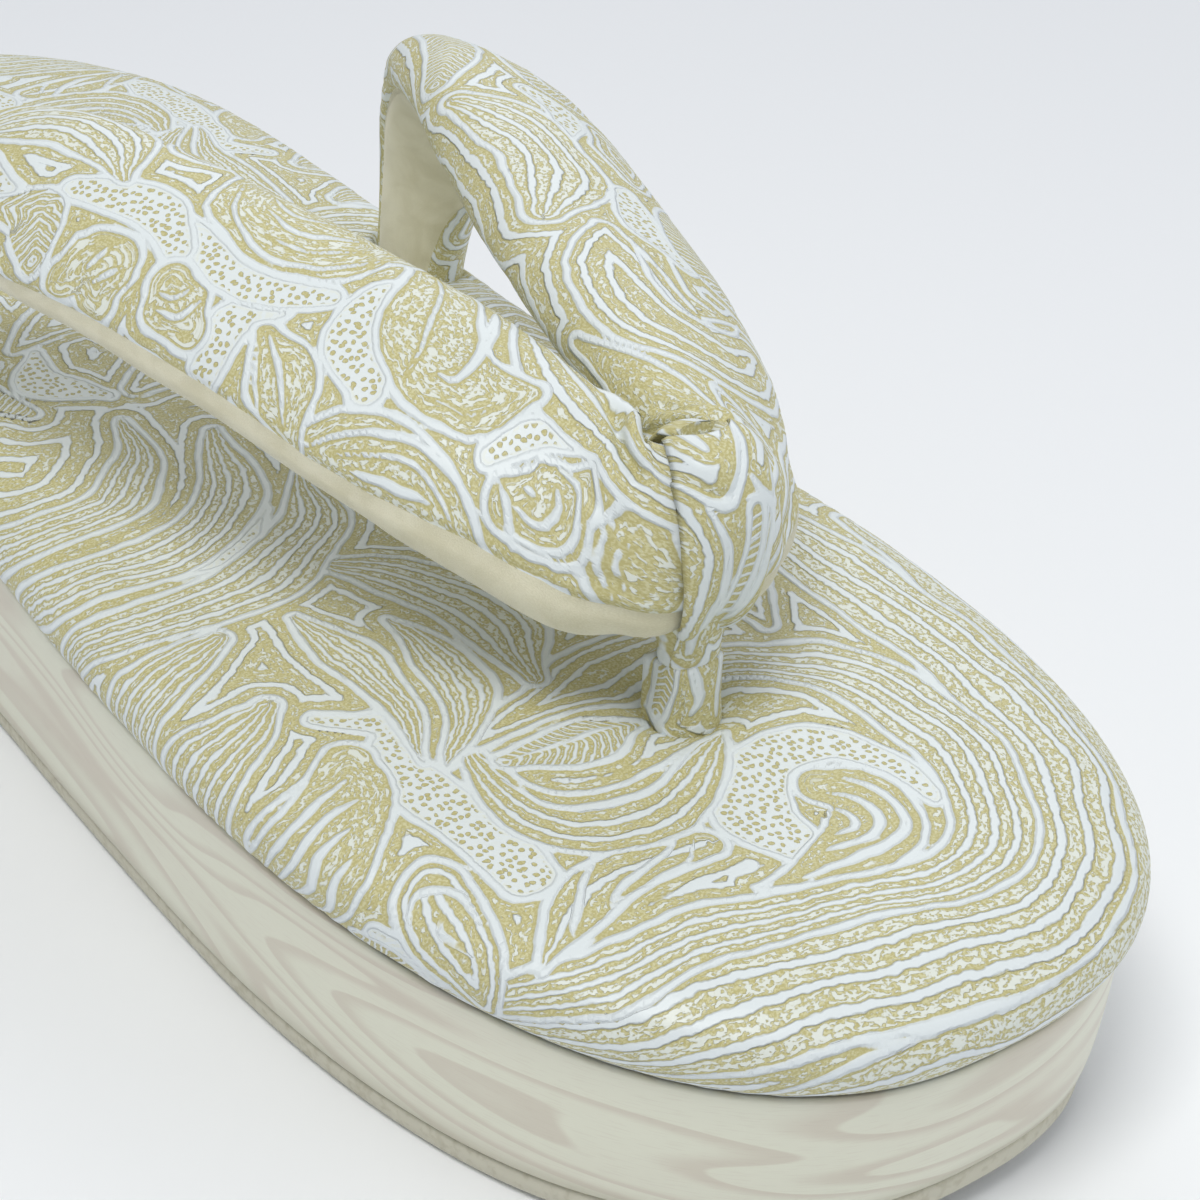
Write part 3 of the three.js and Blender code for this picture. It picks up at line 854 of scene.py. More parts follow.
@dataclass(frozen=True)
class PrintedHide:
    """White leather, embossed and rubbed with gold in the hollows.

    Attributes:
        white: Its raised lines and white bands; their bluish tint is painted sheen.
        ground: Its flat ground.
        gold: The gold where it is thickest.
        thin_gold: The gold where it is rubbed thin.
        rim: Half the width of an outline's flat top.
        band: Half the width of a white band, as a share of the pitch.
        band_most: The most that it may be.
        stipple: The pitch of the dots on the ground.
        dot: The radius of a dot, in pitches.
        emboss: How high the raised lines stand.
        hollow: How low the gold lies, as a share of that.
    """

    # the white print, with painted sheen in its bluish tint
    white: Colour = linear(220, 227, 230)
    ground: Colour = linear(221, 225, 217)
    gold: Colour = linear(184, 176, 122)
    thin_gold: Colour = linear(206, 202, 161)
    rim: float = 0.42
    band: float = 0.18
    band_most: float = 0.44
    stipple: float = 0.84
    dot: float = 0.30
    emboss: float = 0.22
    hollow: float = 0.34

    def material(self) -> bpy.types.Material:
        """Makes the material.

        Returns:
            The material, which reads hide_place, motif_line and motif_fill.
        """
        w = Wiring("printed_hide")
        place = w.vector("hide_place")
        edge, across, along = w.split(w.vector("motif_line"))
        pitch, fill, drift = w.split(w.vector("motif_fill"))
        wander = w.noise(place, 0.7, 2.0)
        rim = w.math("MULTIPLY_ADD", wander, 0.3, self.rim - 0.15)
        # white bands inside the motifs
        sway = w.less(w.noise(place, 0.9, 1.0), 0.5)
        across = w.plus(across, w.math("DIVIDE", w.times(sway, 0.6), pitch))
        off_band = w.times(w.math("ABSOLUTE", w.less(w.math("FRACT", across), 0.5)), pitch)
        band = w.math("MINIMUM", w.times(pitch, self.band), self.band_most)
        band = w.math("MULTIPLY_ADD", wander, 0.1, w.less(band, 0.05))
        in_motif = w.step(edge, w.less(rim, 0.06), w.plus(rim, 0.06))
        off_white = w.step(off_band, w.less(band, 0.05), w.plus(band, 0.07))
        # engraving: solid gold beside the white, broken strokes further in
        lateral = w.times(across, pitch)
        strokes = w.noise(w.scaled((along, 0.8), (lateral, 2.1), (drift, 0.8)), 1.0, 1.5, 0.3)
        dashes = w.noise(w.scaled((along, 2.0), (lateral, 2.5), (drift, 2.0)), 1.0, 1.0)
        from_band = w.step(w.less(off_band, band), 0.10, 0.28)
        from_rim = w.step(w.less(edge, rim), 0.12, 0.32)
        open_zone = w.times(from_band, from_rim)
        threshold = w.math("MULTIPLY_ADD", w.mix(open_zone, 1.0, fill), 0.50, 0.24)
        engraved = w.step(w.less(threshold, w.mix(0.5, strokes, dashes)), -0.03, 0.04)
        gold = w.times(w.times(engraved, off_white), in_motif)
        # stippled ground
        bent = w.node("ShaderNodeVectorMath", operation="ADD")
        w.feed(bent.inputs[0], place)
        w.feed(bent.inputs[1], w.join(w.times(wander, 1.2), 0.0, 0.0))
        dots = w.specks(w.stretch(bent.outputs[0], (1.0, 0.86, 1.0)), 1 / self.stipple)
        radius = w.math("MULTIPLY_ADD", w.noise(place, 0.5, 1.0), 0.12, self.dot - 0.06)
        on_ground = w.step(w.times(edge, -1.0), 0.55, 0.8)
        gold = w.most(gold, w.times(w.step(w.less(radius, dots), -0.03, 0.05), on_ground))
        # colours; the white's bluish tint is painted sheen on the raised print
        frost = w.step(w.noise(place, 3.6, 2.0), 0.40, 0.64)
        frost = w.times(frost, w.mix(open_zone, 0.55, 1.0))
        gold_tone = w.blend(frost, self.gold, self.thin_gold)
        raised = w.step(w.math("ABSOLUTE", edge), 0.75, 0.25)
        raised = w.most(raised, w.times(on_ground, 0.8))
        pale = w.blend(w.most(raised, w.less(1.0, off_white)), self.ground, self.white)
        # height: lines stand up, gold lies in the hollows
        line = w.step(w.math("ABSOLUTE", edge), w.plus(rim, 0.12), w.less(rim, 0.3))
        rib = w.step(off_band, w.plus(band, 0.12), w.less(band, 0.14))
        rib = w.times(rib, w.math("MINIMUM", w.times(pitch, 0.45), 1.0))
        rib = w.times(rib, in_motif)
        flat = w.math("MULTIPLY_ADD", gold, -self.hollow, self.hollow)
        normal = w.bump(w.most(w.most(line, rib), flat), self.emboss, 1.0)
        normal = w.bump(w.noise(place, 5.0, 3.0), 0.03, 0.6, normal)
        return w.finish(Base_Color=w.blend(gold, pale, gold_tone),
                        Roughness=w.mix(gold, 0.42, 0.56), Normal=normal,
                        Specular_IOR_Level=0.42, Coat_Weight=0.08, Coat_Roughness=0.35)


@dataclass(frozen=True)
class Velour:
    """The thong's cream lining: a short, soft pile.

    Attributes:
        pale: Painted sheen: the pile where it lies towards the light.
        deep: Painted shade: the pile where its nap is laid over.
    """

    pale: Colour = linear(225, 221, 198)
    deep: Colour = linear(210, 205, 178)

    def material(self) -> bpy.types.Material:
        """Makes the material, which reads hide_place."""
        w = Wiring("velour_lining")
        place = w.vector("hide_place")
        # painted sheen and painted shade: paler and darker patches of pile, placed by noise
        nap_sheen = w.noise(place, 0.22, 3.0, 0.4)
        pile = w.noise(place, 7.0, 3.0)
        tone = w.blend(w.step(w.mix(0.4, nap_sheen, pile), 0.36, 0.64), self.deep, self.pale)
        return w.finish(Base_Color=tone, Roughness=0.92, Normal=w.bump(pile, 0.08, 0.7),
                        Sheen_Weight=0.5, Sheen_Roughness=0.45, Specular_IOR_Level=0.2)


@dataclass(frozen=True)
class WoodGrainFilm:
    """The sole's side: a greige film with a flat-sawn grain that runs round the sole.

    Attributes:
        base: Its ground.
        warm: The soft streaks.
        dark: The fine growth lines.
        low: The colour along the lowest edge.
        rings: How many growth lines the grain's arches are cut into.
    """

    base: Colour = linear(224, 224, 207)
    warm: Colour = linear(216, 209, 195)
    dark: Colour = linear(184, 162, 150)
    low: Colour = linear(184, 180, 158)
    rings: float = 13.0

    def material(self) -> bpy.types.Material:
        """Makes the material, which reads side_place: along, up and share of the height."""
        w = Wiring("wood_grain_film")
        along, up, share = w.split(w.vector("side_place"))
        arch = w.noise(w.scaled((along, 0.011), (up, 0.07)), 1.0, 1.0, 0.6)
        rings = w.math("FRACT", w.times(arch, self.rings))
        growth = w.times(w.step(rings, 0.45, 0.86), w.step(rings, 1.0, 0.93))
        soft = w.step(w.noise(w.scaled((along, 0.02), (up, 0.13)), 1.0, 2.0), 0.42, 0.7)
        pores = w.noise(w.scaled((along, 0.35), (up, 5.5)), 1.0, 2.0)
        tone = w.blend(w.times(soft, 0.3), self.base, self.warm)
        for streak, share_of in ((growth, 0.34), (w.step(pores, 0.52, 0.68), 0.10)):
            tone = w.blend(w.times(streak, share_of), tone, self.dark)
        tone = w.blend(w.times(w.step(share, 0.16, 0.0), 0.55), tone, self.low)
        height = w.mix(0.5, pores, growth)
        return w.finish(Base_Color=tone, Roughness=0.42, Normal=w.bump(height, 0.04, 0.4),
                        Specular_IOR_Level=0.45, Coat_Weight=0.12, Coat_Roughness=0.3)


@dataclass(frozen=True)
class OutsoleRubber:
    """The pale rubber under the sole, matt and a little speckled.

    Attributes:
        face: Its colour.
        speck: The specks in it.
    """

    face: Colour = linear(203, 200, 184)
    speck: Colour = linear(190, 186, 168)

    def material(self) -> bpy.types.Material:
        """Makes the material, which reads Object coordinates."""
        w = Wiring("outsole_rubber")
        where = w.node("ShaderNodeTexCoord").outputs["Object"]
        crumb = w.noise(where, 900.0, 3.0)
        cloud = w.noise(where, 60.0, 2.0)
        tone = w.blend(w.step(w.mix(0.3, crumb, cloud), 0.48, 0.66), self.face, self.speck)
        return w.finish(Base_Color=tone, Roughness=0.78, Normal=w.bump(crumb, 0.12, 0.5),
                        Specular_IOR_Level=0.3)


@dataclass(frozen=True)
class StudioPaper:
    """The seamless paper that the sandal stands on.

    Attributes:
        tone: Its colour.
    """

    tone: Colour = linear(240, 242, 246)

    def material(self) -> bpy.types.Material:
        """Makes the material."""
        w = Wiring("studio_paper")
        where = w.node("ShaderNodeTexCoord").outputs["Object"]
        tooth = w.bump(w.noise(where, 700.0, 2.0), 0.05, 0.2)
        return w.finish(Base_Color=(*self.tone, 1.0), Roughness=0.85, Normal=tooth,
                        Specular_IOR_Level=0.2)


# ---- the last ----
@dataclass(frozen=True)
class Last:
    """The shape that the sole and the padded top are cut to.

    Attributes:
        length: Toe tip to heel tip along the sole's upper edge.
        ball: Half the width at the ball of the foot.
        heel: Half the width across the heel.
        toe_run: From the toe tip back to the full width.
        toe_power: How square the toe is.
        heel_run: From the heel tip forward to the full width.
        heel_power: How square the heel is.
        taper_end: Where the outline has narrowed to the heel's width.
    """

    length: float = 240.0
    ball: float = 41.0
    heel: float = 36.5
    toe_run: float = 75.0
    toe_power: float = 2.44
    heel_run: float = 52.0
    heel_power: float = 2.3
    taper_end: float = 190.0

    def body_half(self, back: np.ndarray) -> np.ndarray:
        """Half the width before the ends are rounded."""
        start = self.toe_run * 0.8
        t = ease((back - start) / (self.taper_end - start))
        return self.ball + (self.heel - self.ball) * t

    def outline(self, front_step: float, rear_step: float, turn_over: float) -> np.ndarray:
        """One side of the outline, toe tip to heel tip.

        Args:
            front_step: The spacing of its points as far back as turn_over.
            rear_step: Their spacing from there on.
            turn_over: Where the spacing changes.

        Returns:
            Rows of distance back and half width.
        """
        angle = np.linspace(0, pi / 2, 900)
        toe = self.toe_run * (1 - np.cos(angle) ** (2 / self.toe_power))
        toe_half = self.body_half(toe) * np.sin(angle) ** (2 / self.toe_power)
        middle = np.linspace(self.toe_run, self.length - self.heel_run, 500)[1:-1]
        heel = self.length - self.heel_run * (1 - np.cos(angle[::-1]) ** (2 / self.heel_power))
        heel_half = self.body_half(heel) * np.sin(angle[::-1]) ** (2 / self.heel_power)
        back = np.r_[toe, middle, heel]
        half = np.r_[toe_half, self.body_half(middle), heel_half]
        run = run_length(np.stack([back, half], 1))
        split = np.interp(turn_over, back, run)
        front = np.linspace(0, split, int(split / front_step))
        rear = np.linspace(split, run[-1], int((run[-1] - split) / rear_step))[1:]
        steps = np.r_[front, rear]
        return np.stack([np.interp(steps, run, back), np.interp(steps, run, half)], 1)

    @staticmethod
    def underside(back: np.ndarray) -> np.ndarray:
        """The height of the underside, which springs up at the toe."""
        return 2.4 * np.maximum(0, 1 - back / 34) ** 2

    @staticmethod
    def sole_edge(back: np.ndarray) -> np.ndarray:
        """The height of the sole's upper edge."""
        return 19.1 + 0.048 * back + 6.0 * ease((back - 88) / 102)

    def ring(self, rows: np.ndarray, out: float, height: np.ndarray) -> np.ndarray:
        """A closed ring that follows the outline.

        Args:
            rows: The outline.
            out: How far it is grown outwards.
            height: Its height at each row.

        Returns:
            The ring's points, right side first.
        """
        y = (rows[:, 0] - self.length / 2) * (1 + out / (self.length / 2))
        x = rows[:, 1] * (1 + out / self.ball)
        right = np.stack([x, y, height], 1)
        left = right[1:-1][::-1] * (-1, 1, 1)
        return np.vstack([right, left])

    def inset(self, x: np.ndarray, y: np.ndarray) -> np.ndarray:
        """How far outside the outline each point is, as rings are grown; negative inside.

        Args:
            x: Across the sole.
            y: Along it, as in the frame.

        Returns:
            The distance at each point.
        """
        rows = self.outline(0.5, 0.5, 120)
        low, high = np.full(x.shape, -self.ball + 0.5), np.full(x.shape, 4.0)
        for _ in range(26):
            out = (low + high) / 2
            back = y / (1 + out / (self.length / 2)) + self.length / 2
            half = np.interp(back, rows[:, 0], rows[:, 1], left=-1, right=-1)
            outside = np.abs(x) / (1 + out / self.ball) > half
            low, high = np.where(outside, out, low), np.where(outside, high, out)
        return (low + high) / 2


def cap_strips(shell: Shell, ring: np.ndarray, rows: int, order: int = 1) -> None:
    """Closes a ring of point numbers with strips from side to side.

    Args:
        shell: What the faces join.
        ring: The ring, right side first from toe to heel.
        rows: How many outline rows it has.
        order: 1, or -1 to turn the faces the other way.
    """
    count = len(ring)
    for row in range(rows - 1):
        left = [ring[r] if r in (0, rows - 1) else ring[count - r] for r in (row, row + 1)]
        shell.face((ring[row], ring[row + 1], left[1], left[0])[::order])


def cap_ends(shell: Shell, rings: np.ndarray, rows: int) -> None:
    """Closes the lowest and the highest of a sole's rings."""
    cap_strips(shell, rings[0], rows)
    cap_strips(shell, rings[-1], rows, -1)


# ---- the sole ----
SOLE_ROWS = (1.3, 1.6, 120)  # spacing to the front, to the rear, and where it changes


@dataclass
class WedgeSole:
    """The wedge sole, with its side wrapped in a wood-grain film.

    Attributes:
        last: The shape it is cut to.
        outsole: The thickness of the outsole under it.
        edge: The radius of its edges.
        inset: How far in from the side the flat of each face is held by a ring.
        profile: Its side, from the foot up: how far out, at which share of the height.
    """

    last: Last
    outsole: float = 2.8
    edge: float = 0.45
    inset: float = 3.0
    profile: Line = ((-1.4, 0.0), (-0.7, 0.3), (-0.2, 0.7), (0.0, 1.0))

    def levels(self) -> list[tuple[float, float, float]]:
        """Rings from bottom to top: how far out, the share of the height, and a rise in mm."""
        shares = np.linspace(0, 1, 13)
        out = spline(np.asarray(self.profile), np.linspace(0, 1, 60))
        side = [(float(np.interp(s, out[:, 1], out[:, 0])), float(s), 0.0) for s in shares[1:-1]]
        e, foot = self.edge, self.profile[0][0]
        low = [(foot - self.inset, 0.0, 0.0), (foot - e, 0.0, 0.0),
               (foot - 0.3 * e, 0.0, 0.3 * e), (foot + 0.02, 0.0, e)]
        high = [(-0.02, 1.0, -e), (-0.3 * e, 1.0, -0.3 * e), (-e, 1.0, 0.0),
                (-self.inset, 1.0, 0.0)]
        return low + side + high

    def build(self, film: bpy.types.Material) -> bpy.types.Object:
        """Makes the sole.

        Args:
            film: The finish of its side.

        Returns:
            The piece.
        """
        rows = self.last.outline(*SOLE_ROWS)
        bottom = self.last.underside(rows[:, 0]) + self.outsole + GAP
        top = self.last.sole_edge(rows[:, 0]) - GAP / 2
        run = run_length(rows)
        along = np.r_[run, -run[1:-1][::-1]]
        shell, rings = Shell(), []
        for out, share, rise in self.levels():
            height = bottom + (top - bottom) * share + rise
            ring = self.last.ring(rows, out, height)
            place = np.stack([along, ring[:, 2], np.full(len(ring), share)], 1)
            rings.append(shell.add(ring, side_place=place))
        numbers = np.array(rings)
        shell.grid(numbers, closed=True)
        cap_ends(shell, numbers, len(rows))
        return shell.mesh("wedge_sole", [film])


@dataclass
class Outsole:
    """The thin rubber outsole.

    Attributes:
        last: The shape it is cut to.
        levels: How far in and how high each ring of its side is, from the ground up.
    """

    last: Last
    levels: Line = (
        (-5.0, 0.0), (-3.0, 0.0), (-2.6, 0.12), (-2.1, 0.42), (-1.9, 0.8), (-1.8, 1.6),
        (-1.75, 2.3), (-1.9, 2.7), (-2.3, 2.8), (-5.0, 2.8))

    def build(self, rubber: bpy.types.Material) -> bpy.types.Object:
        """Makes the outsole.

        Args:
            rubber: Its finish.

        Returns:
            The piece.
        """
        rows = self.last.outline(*SOLE_ROWS)
        base = self.last.underside(rows[:, 0])
        shell = Shell()
        numbers = np.array([shell.add(self.last.ring(rows, out, base + up))
                            for out, up in self.levels])
        shell.grid(numbers, closed=True)
        cap_ends(shell, numbers, len(rows))
        return shell.mesh("outsole_sheet", [rubber])


# ---- the padded top ----
@dataclass
class PaddedTop:
    """The padded top: printed hide drawn over foam and turned under at the sole's edge.

    Attributes:
        last: The shape it is cut to.
        thick: Its thickness above the sole's edge, at its middle.
        roll: Rows over its rolled edge: how far out, and how high as a share of the thickness.
        round_off: How far inward the roll's last rise reaches.
        post: Where the post goes in, back from the toe tip.
        post_half: Half the sleeve's width and depth there, with the gap.
        arm: Where an arm goes in: sideways and back.
        arm_half: Half the arm's size there, across and along.
        hole: How deep the holes for them go.
        emboss: How high the print's raised lines stand.
        rows: Its spacing to the front, to the rear, and where it changes.
        columns: The faces from side to side.
        roll_rows: The rows of points over the rolled edge.
    """

    last: Last
    thick: float = 9.4
    roll: Line = ((-0.4, 0.0), (0.7, 0.13), (1.5, 0.34), (1.5, 0.52), (0.7, 0.7), (-1.0, 0.83))
    round_off: float = 3.44
    post: float = 45.2
    post_half: tuple[float, float] = (3.6, 3.3)
    arm: tuple[float, float] = (33.1, 145.0)
    arm_half: tuple[float, float] = (4.3, 7.4)
    hole: float = 4.5
    emboss: float = 0.09
    rows: tuple[float, float, float] = (0.52, 0.8, 112)
    columns: int = 160
    roll_rows: int = 17

    def height(self, back: np.ndarray, rise: np.ndarray | float) -> np.ndarray:
        """The height of a share of the thickness above the sole's edge."""
        return self.last.sole_edge(back) + GAP / 2 + (self.thick - GAP / 2) * rise

    def crown(self, x: np.ndarray, y: np.ndarray) -> np.ndarray:
        """The height of the top's surface at points inside the rolled edge.

        Args:
            x: Across the sole.
            y: Along it, as in the frame.

        Returns:
            The height of each point, sculpted.
        """
        edge, top_share = self.roll[-1]
        back = y + self.last.length / 2
        inward = np.maximum(-self.last.inset(x, y) + edge, 0)
        up = self.height(back, 1 - (1 - top_share) * np.exp(-inward / self.round_off))
        # foam that is not quite even
        up += 0.10 * ripple(x / 34, back / 34, seed=3) * ease(inward / 8)
        # the post's hole, with gathers and a soft swell round it
        px, py = x / self.post_half[0], (back - self.post) / self.post_half[1]
        ring = np.hypot(px, py)
        up -= self.sink(ring, drawn=1.5, reach=0.75, floor=0.72, wall=0.26)
        up += 0.12 * np.cos(7 * np.arctan2(py, px) + 0.6) * bell(ring - 1.8, 0.55)
        up += 0.35 * bell(ring - 2.9, 0.9)
        # the arms' holes
        ax = (np.abs(x) - self.arm[0]) / self.arm_half[0]
        ay = (back - self.arm[1]) / self.arm_half[1]
        return up - self.sink(np.hypot(ax, ay), drawn=1.0, reach=0.5, floor=0.8, wall=0.2)

    def sink(
        self, ring: np.ndarray, drawn: float, reach: float, floor: float, wall: float
    ) -> np.ndarray:
        """How far the surface sinks at a hole and round it.

        Args:
            ring: The distance from the hole's middle, 1 at its rim.
            drawn: How far the hide is drawn down at the rim.
            reach: How far out that is felt.
            floor: How far out the hole's floor goes.
            wall: The width of its wall.

        Returns:
            The sinking at each point.
        """
        round_it = drawn * np.exp(-((np.maximum(ring - 1, 0) / reach) ** 1.3))
        return round_it + self.hole * (1 - ease((ring - floor) / wall))

    def build(self, hide: bpy.types.Material) -> bpy.types.Object:
        """Makes the padded top.

        Args:
            hide: Its finish.

        Returns:
            The piece.
        """
        last = self.last
        rows = last.outline(*self.rows)
        count = len(rows)
        edge, places = self.rolled_edge(rows)
        top = self.top_rows(edge[-1][1:count - 1])
        place = np.vstack([places, top[:, :, :2].reshape(-1, 2)]) + (0, last.length / 2)
        turned = [item.turned(last.length) for item in DECK_CHART]
        motifs = HideField(place).draw(turned + DECK_CHART)
        relief = self.emboss * motifs.relief()
        points = np.vstack([edge.reshape(-1, 3), top.reshape(-1, 3)])
        points[:len(places)] += self.roll_normals(edge) * relief[:len(places), None]
        points[len(places):, 2] += relief[len(places):]
        shell = Shell()
        numbers = shell.add(points, **motifs.values())
        rings = numbers[:len(places)].reshape(len(edge), -1)
        inside = numbers[len(places):].reshape(len(top), -1)
        shell.grid(rings, closed=True)
        rim = rings[-1]
        right, left = rim[1:count - 1], rim[count:][::-1]
        ladder = np.hstack([left[:, None], inside, right[:, None]])
        shell.grid(ladder)
        for tip, row, order in ((rim[0], ladder[0], 1), (rim[count - 1], ladder[-1], -1)):
            for a, b in zip(row[:-1], row[1:]):
                shell.face((tip, b, a)[::order])
        cap_strips(shell, rings[0], count)
        return shell.mesh("padded_top", [hide])

    def rolled_edge(self, rows: np.ndarray) -> tuple[np.ndarray, np.ndarray]:
        """The rolled edge, from underneath to where the top begins.

        Args:
            rows: The outline.

        Returns:
            Its rings of points, and every point's place on the flat hide.
        """
        fine = spline([(out, rise * self.thick) for out, rise in self.roll],
                      np.linspace(0, 1, 120))
        steps, order = even_steps(fine, self.roll_rows), np.arange(len(fine))
        profile = np.stack([np.interp(steps, order, fine[:, k]) for k in (0, 1)], 1)
        length = run_length(profile)
        rings, places = [], []
        for (out, up), run in zip(profile, length):
            ring = self.last.ring(rows, out, self.height(rows[:, 0], up / self.thick))
            flat = self.last.ring(rows, self.roll[-1][0] + length[-1] - run, ring[:len(rows), 2])
            rings.append(ring)
            places.append(flat[:, :2])
        return np.array(rings), np.vstack(places)

    def top_rows(self, rim: np.ndarray) -> np.ndarray:
        """The top's points inside the roll, in rows from side to side.

        Args:
            rim: The roll's last ring on the right side, without its tips.

        Returns:
            The grid of points.
        """
        share = np.linspace(-1, 1, self.columns + 1)[1:-1]
        x = share[None, :] * rim[:, :1]
        y = np.repeat(rim[:, 1:2], len(share), 1)
        return np.stack([x, y, self.crown(x.ravel(), y.ravel()).reshape(x.shape)], 2)

    @staticmethod
    def roll_normals(rings: np.ndarray) -> np.ndarray:
        """Directions out of the rolled edge, one for each point, ring by ring."""
        up = np.gradient(rings, axis=0)
        sideways = np.roll(rings, -1, 1) - np.roll(rings, 1, 1)
        return unit(np.cross(sideways, up)).reshape(-1, 3)


# ---- the thong ----
@dataclass(frozen=True)
class Crease:
    """A soft trough or ridge in stuffed hide.

    Attributes:
        line: Its knots, along and across the hide.
        high: Its height, negative for a trough.
        reach: How far it spreads to each side.
    """

    line: Line
    high: float
    reach: float

    def height(self, place: np.ndarray) -> np.ndarray:
        """The crease's height, fading towards its ends.

        Args:
            place: Points on the hide.

        Returns:
            The height at each.
        """
        knots = np.asarray(self.line, float)
        path = spline(knots, np.linspace(0, 1, 14)) if len(knots) > 2 else knots
        distance, along, _, length = beside(place, path)
        fade = ease(np.minimum(along, length - along) / (0.3 * length) + 0.25)
        return self.high * bell(distance, self.reach) * fade


NEAR_CREASES: tuple[Crease, ...] = (
    Crease(((5.0, 6.6), (10, 8.4), (17, 11.5)), -1.2, 0.95),
    Crease(((5.0, 8.8), (10, 10.6), (18, 13.4)), 1.0, 1.5),
    Crease(((5.0, 11.6), (9, 13.2), (13, 15.6)), -1.0, 0.9),
    Crease(((5.0, 4.4), (12, 6.0), (20, 9.0)), 0.35, 1.5),
    Crease(((5.4, 1.6), (10, 2.2)), -0.3, 0.8),
    Crease(((5.4, -3.4), (9, -4.4)), -0.25, 0.9),
    Crease(((18, 13.6), (28, 15.2), (42, 15.6)), 0.25, 1.8),
)
FAR_CREASES: tuple[Crease, ...] = (
    Crease(((5, 8), (9, 9.6), (14, 12)), -0.7, 0.8),
    Crease(((5, 11), (8, 13), (11, 15.4)), -0.6, 0.9),
    Crease(((5, 6), (11, 8)), 0.45, 1.1),
    Crease(((5, 1.5), (9, 2)), -0.35, 0.8),
    Crease(((5, -3.6), (10, -4.4)), -0.3, 0.9),
)


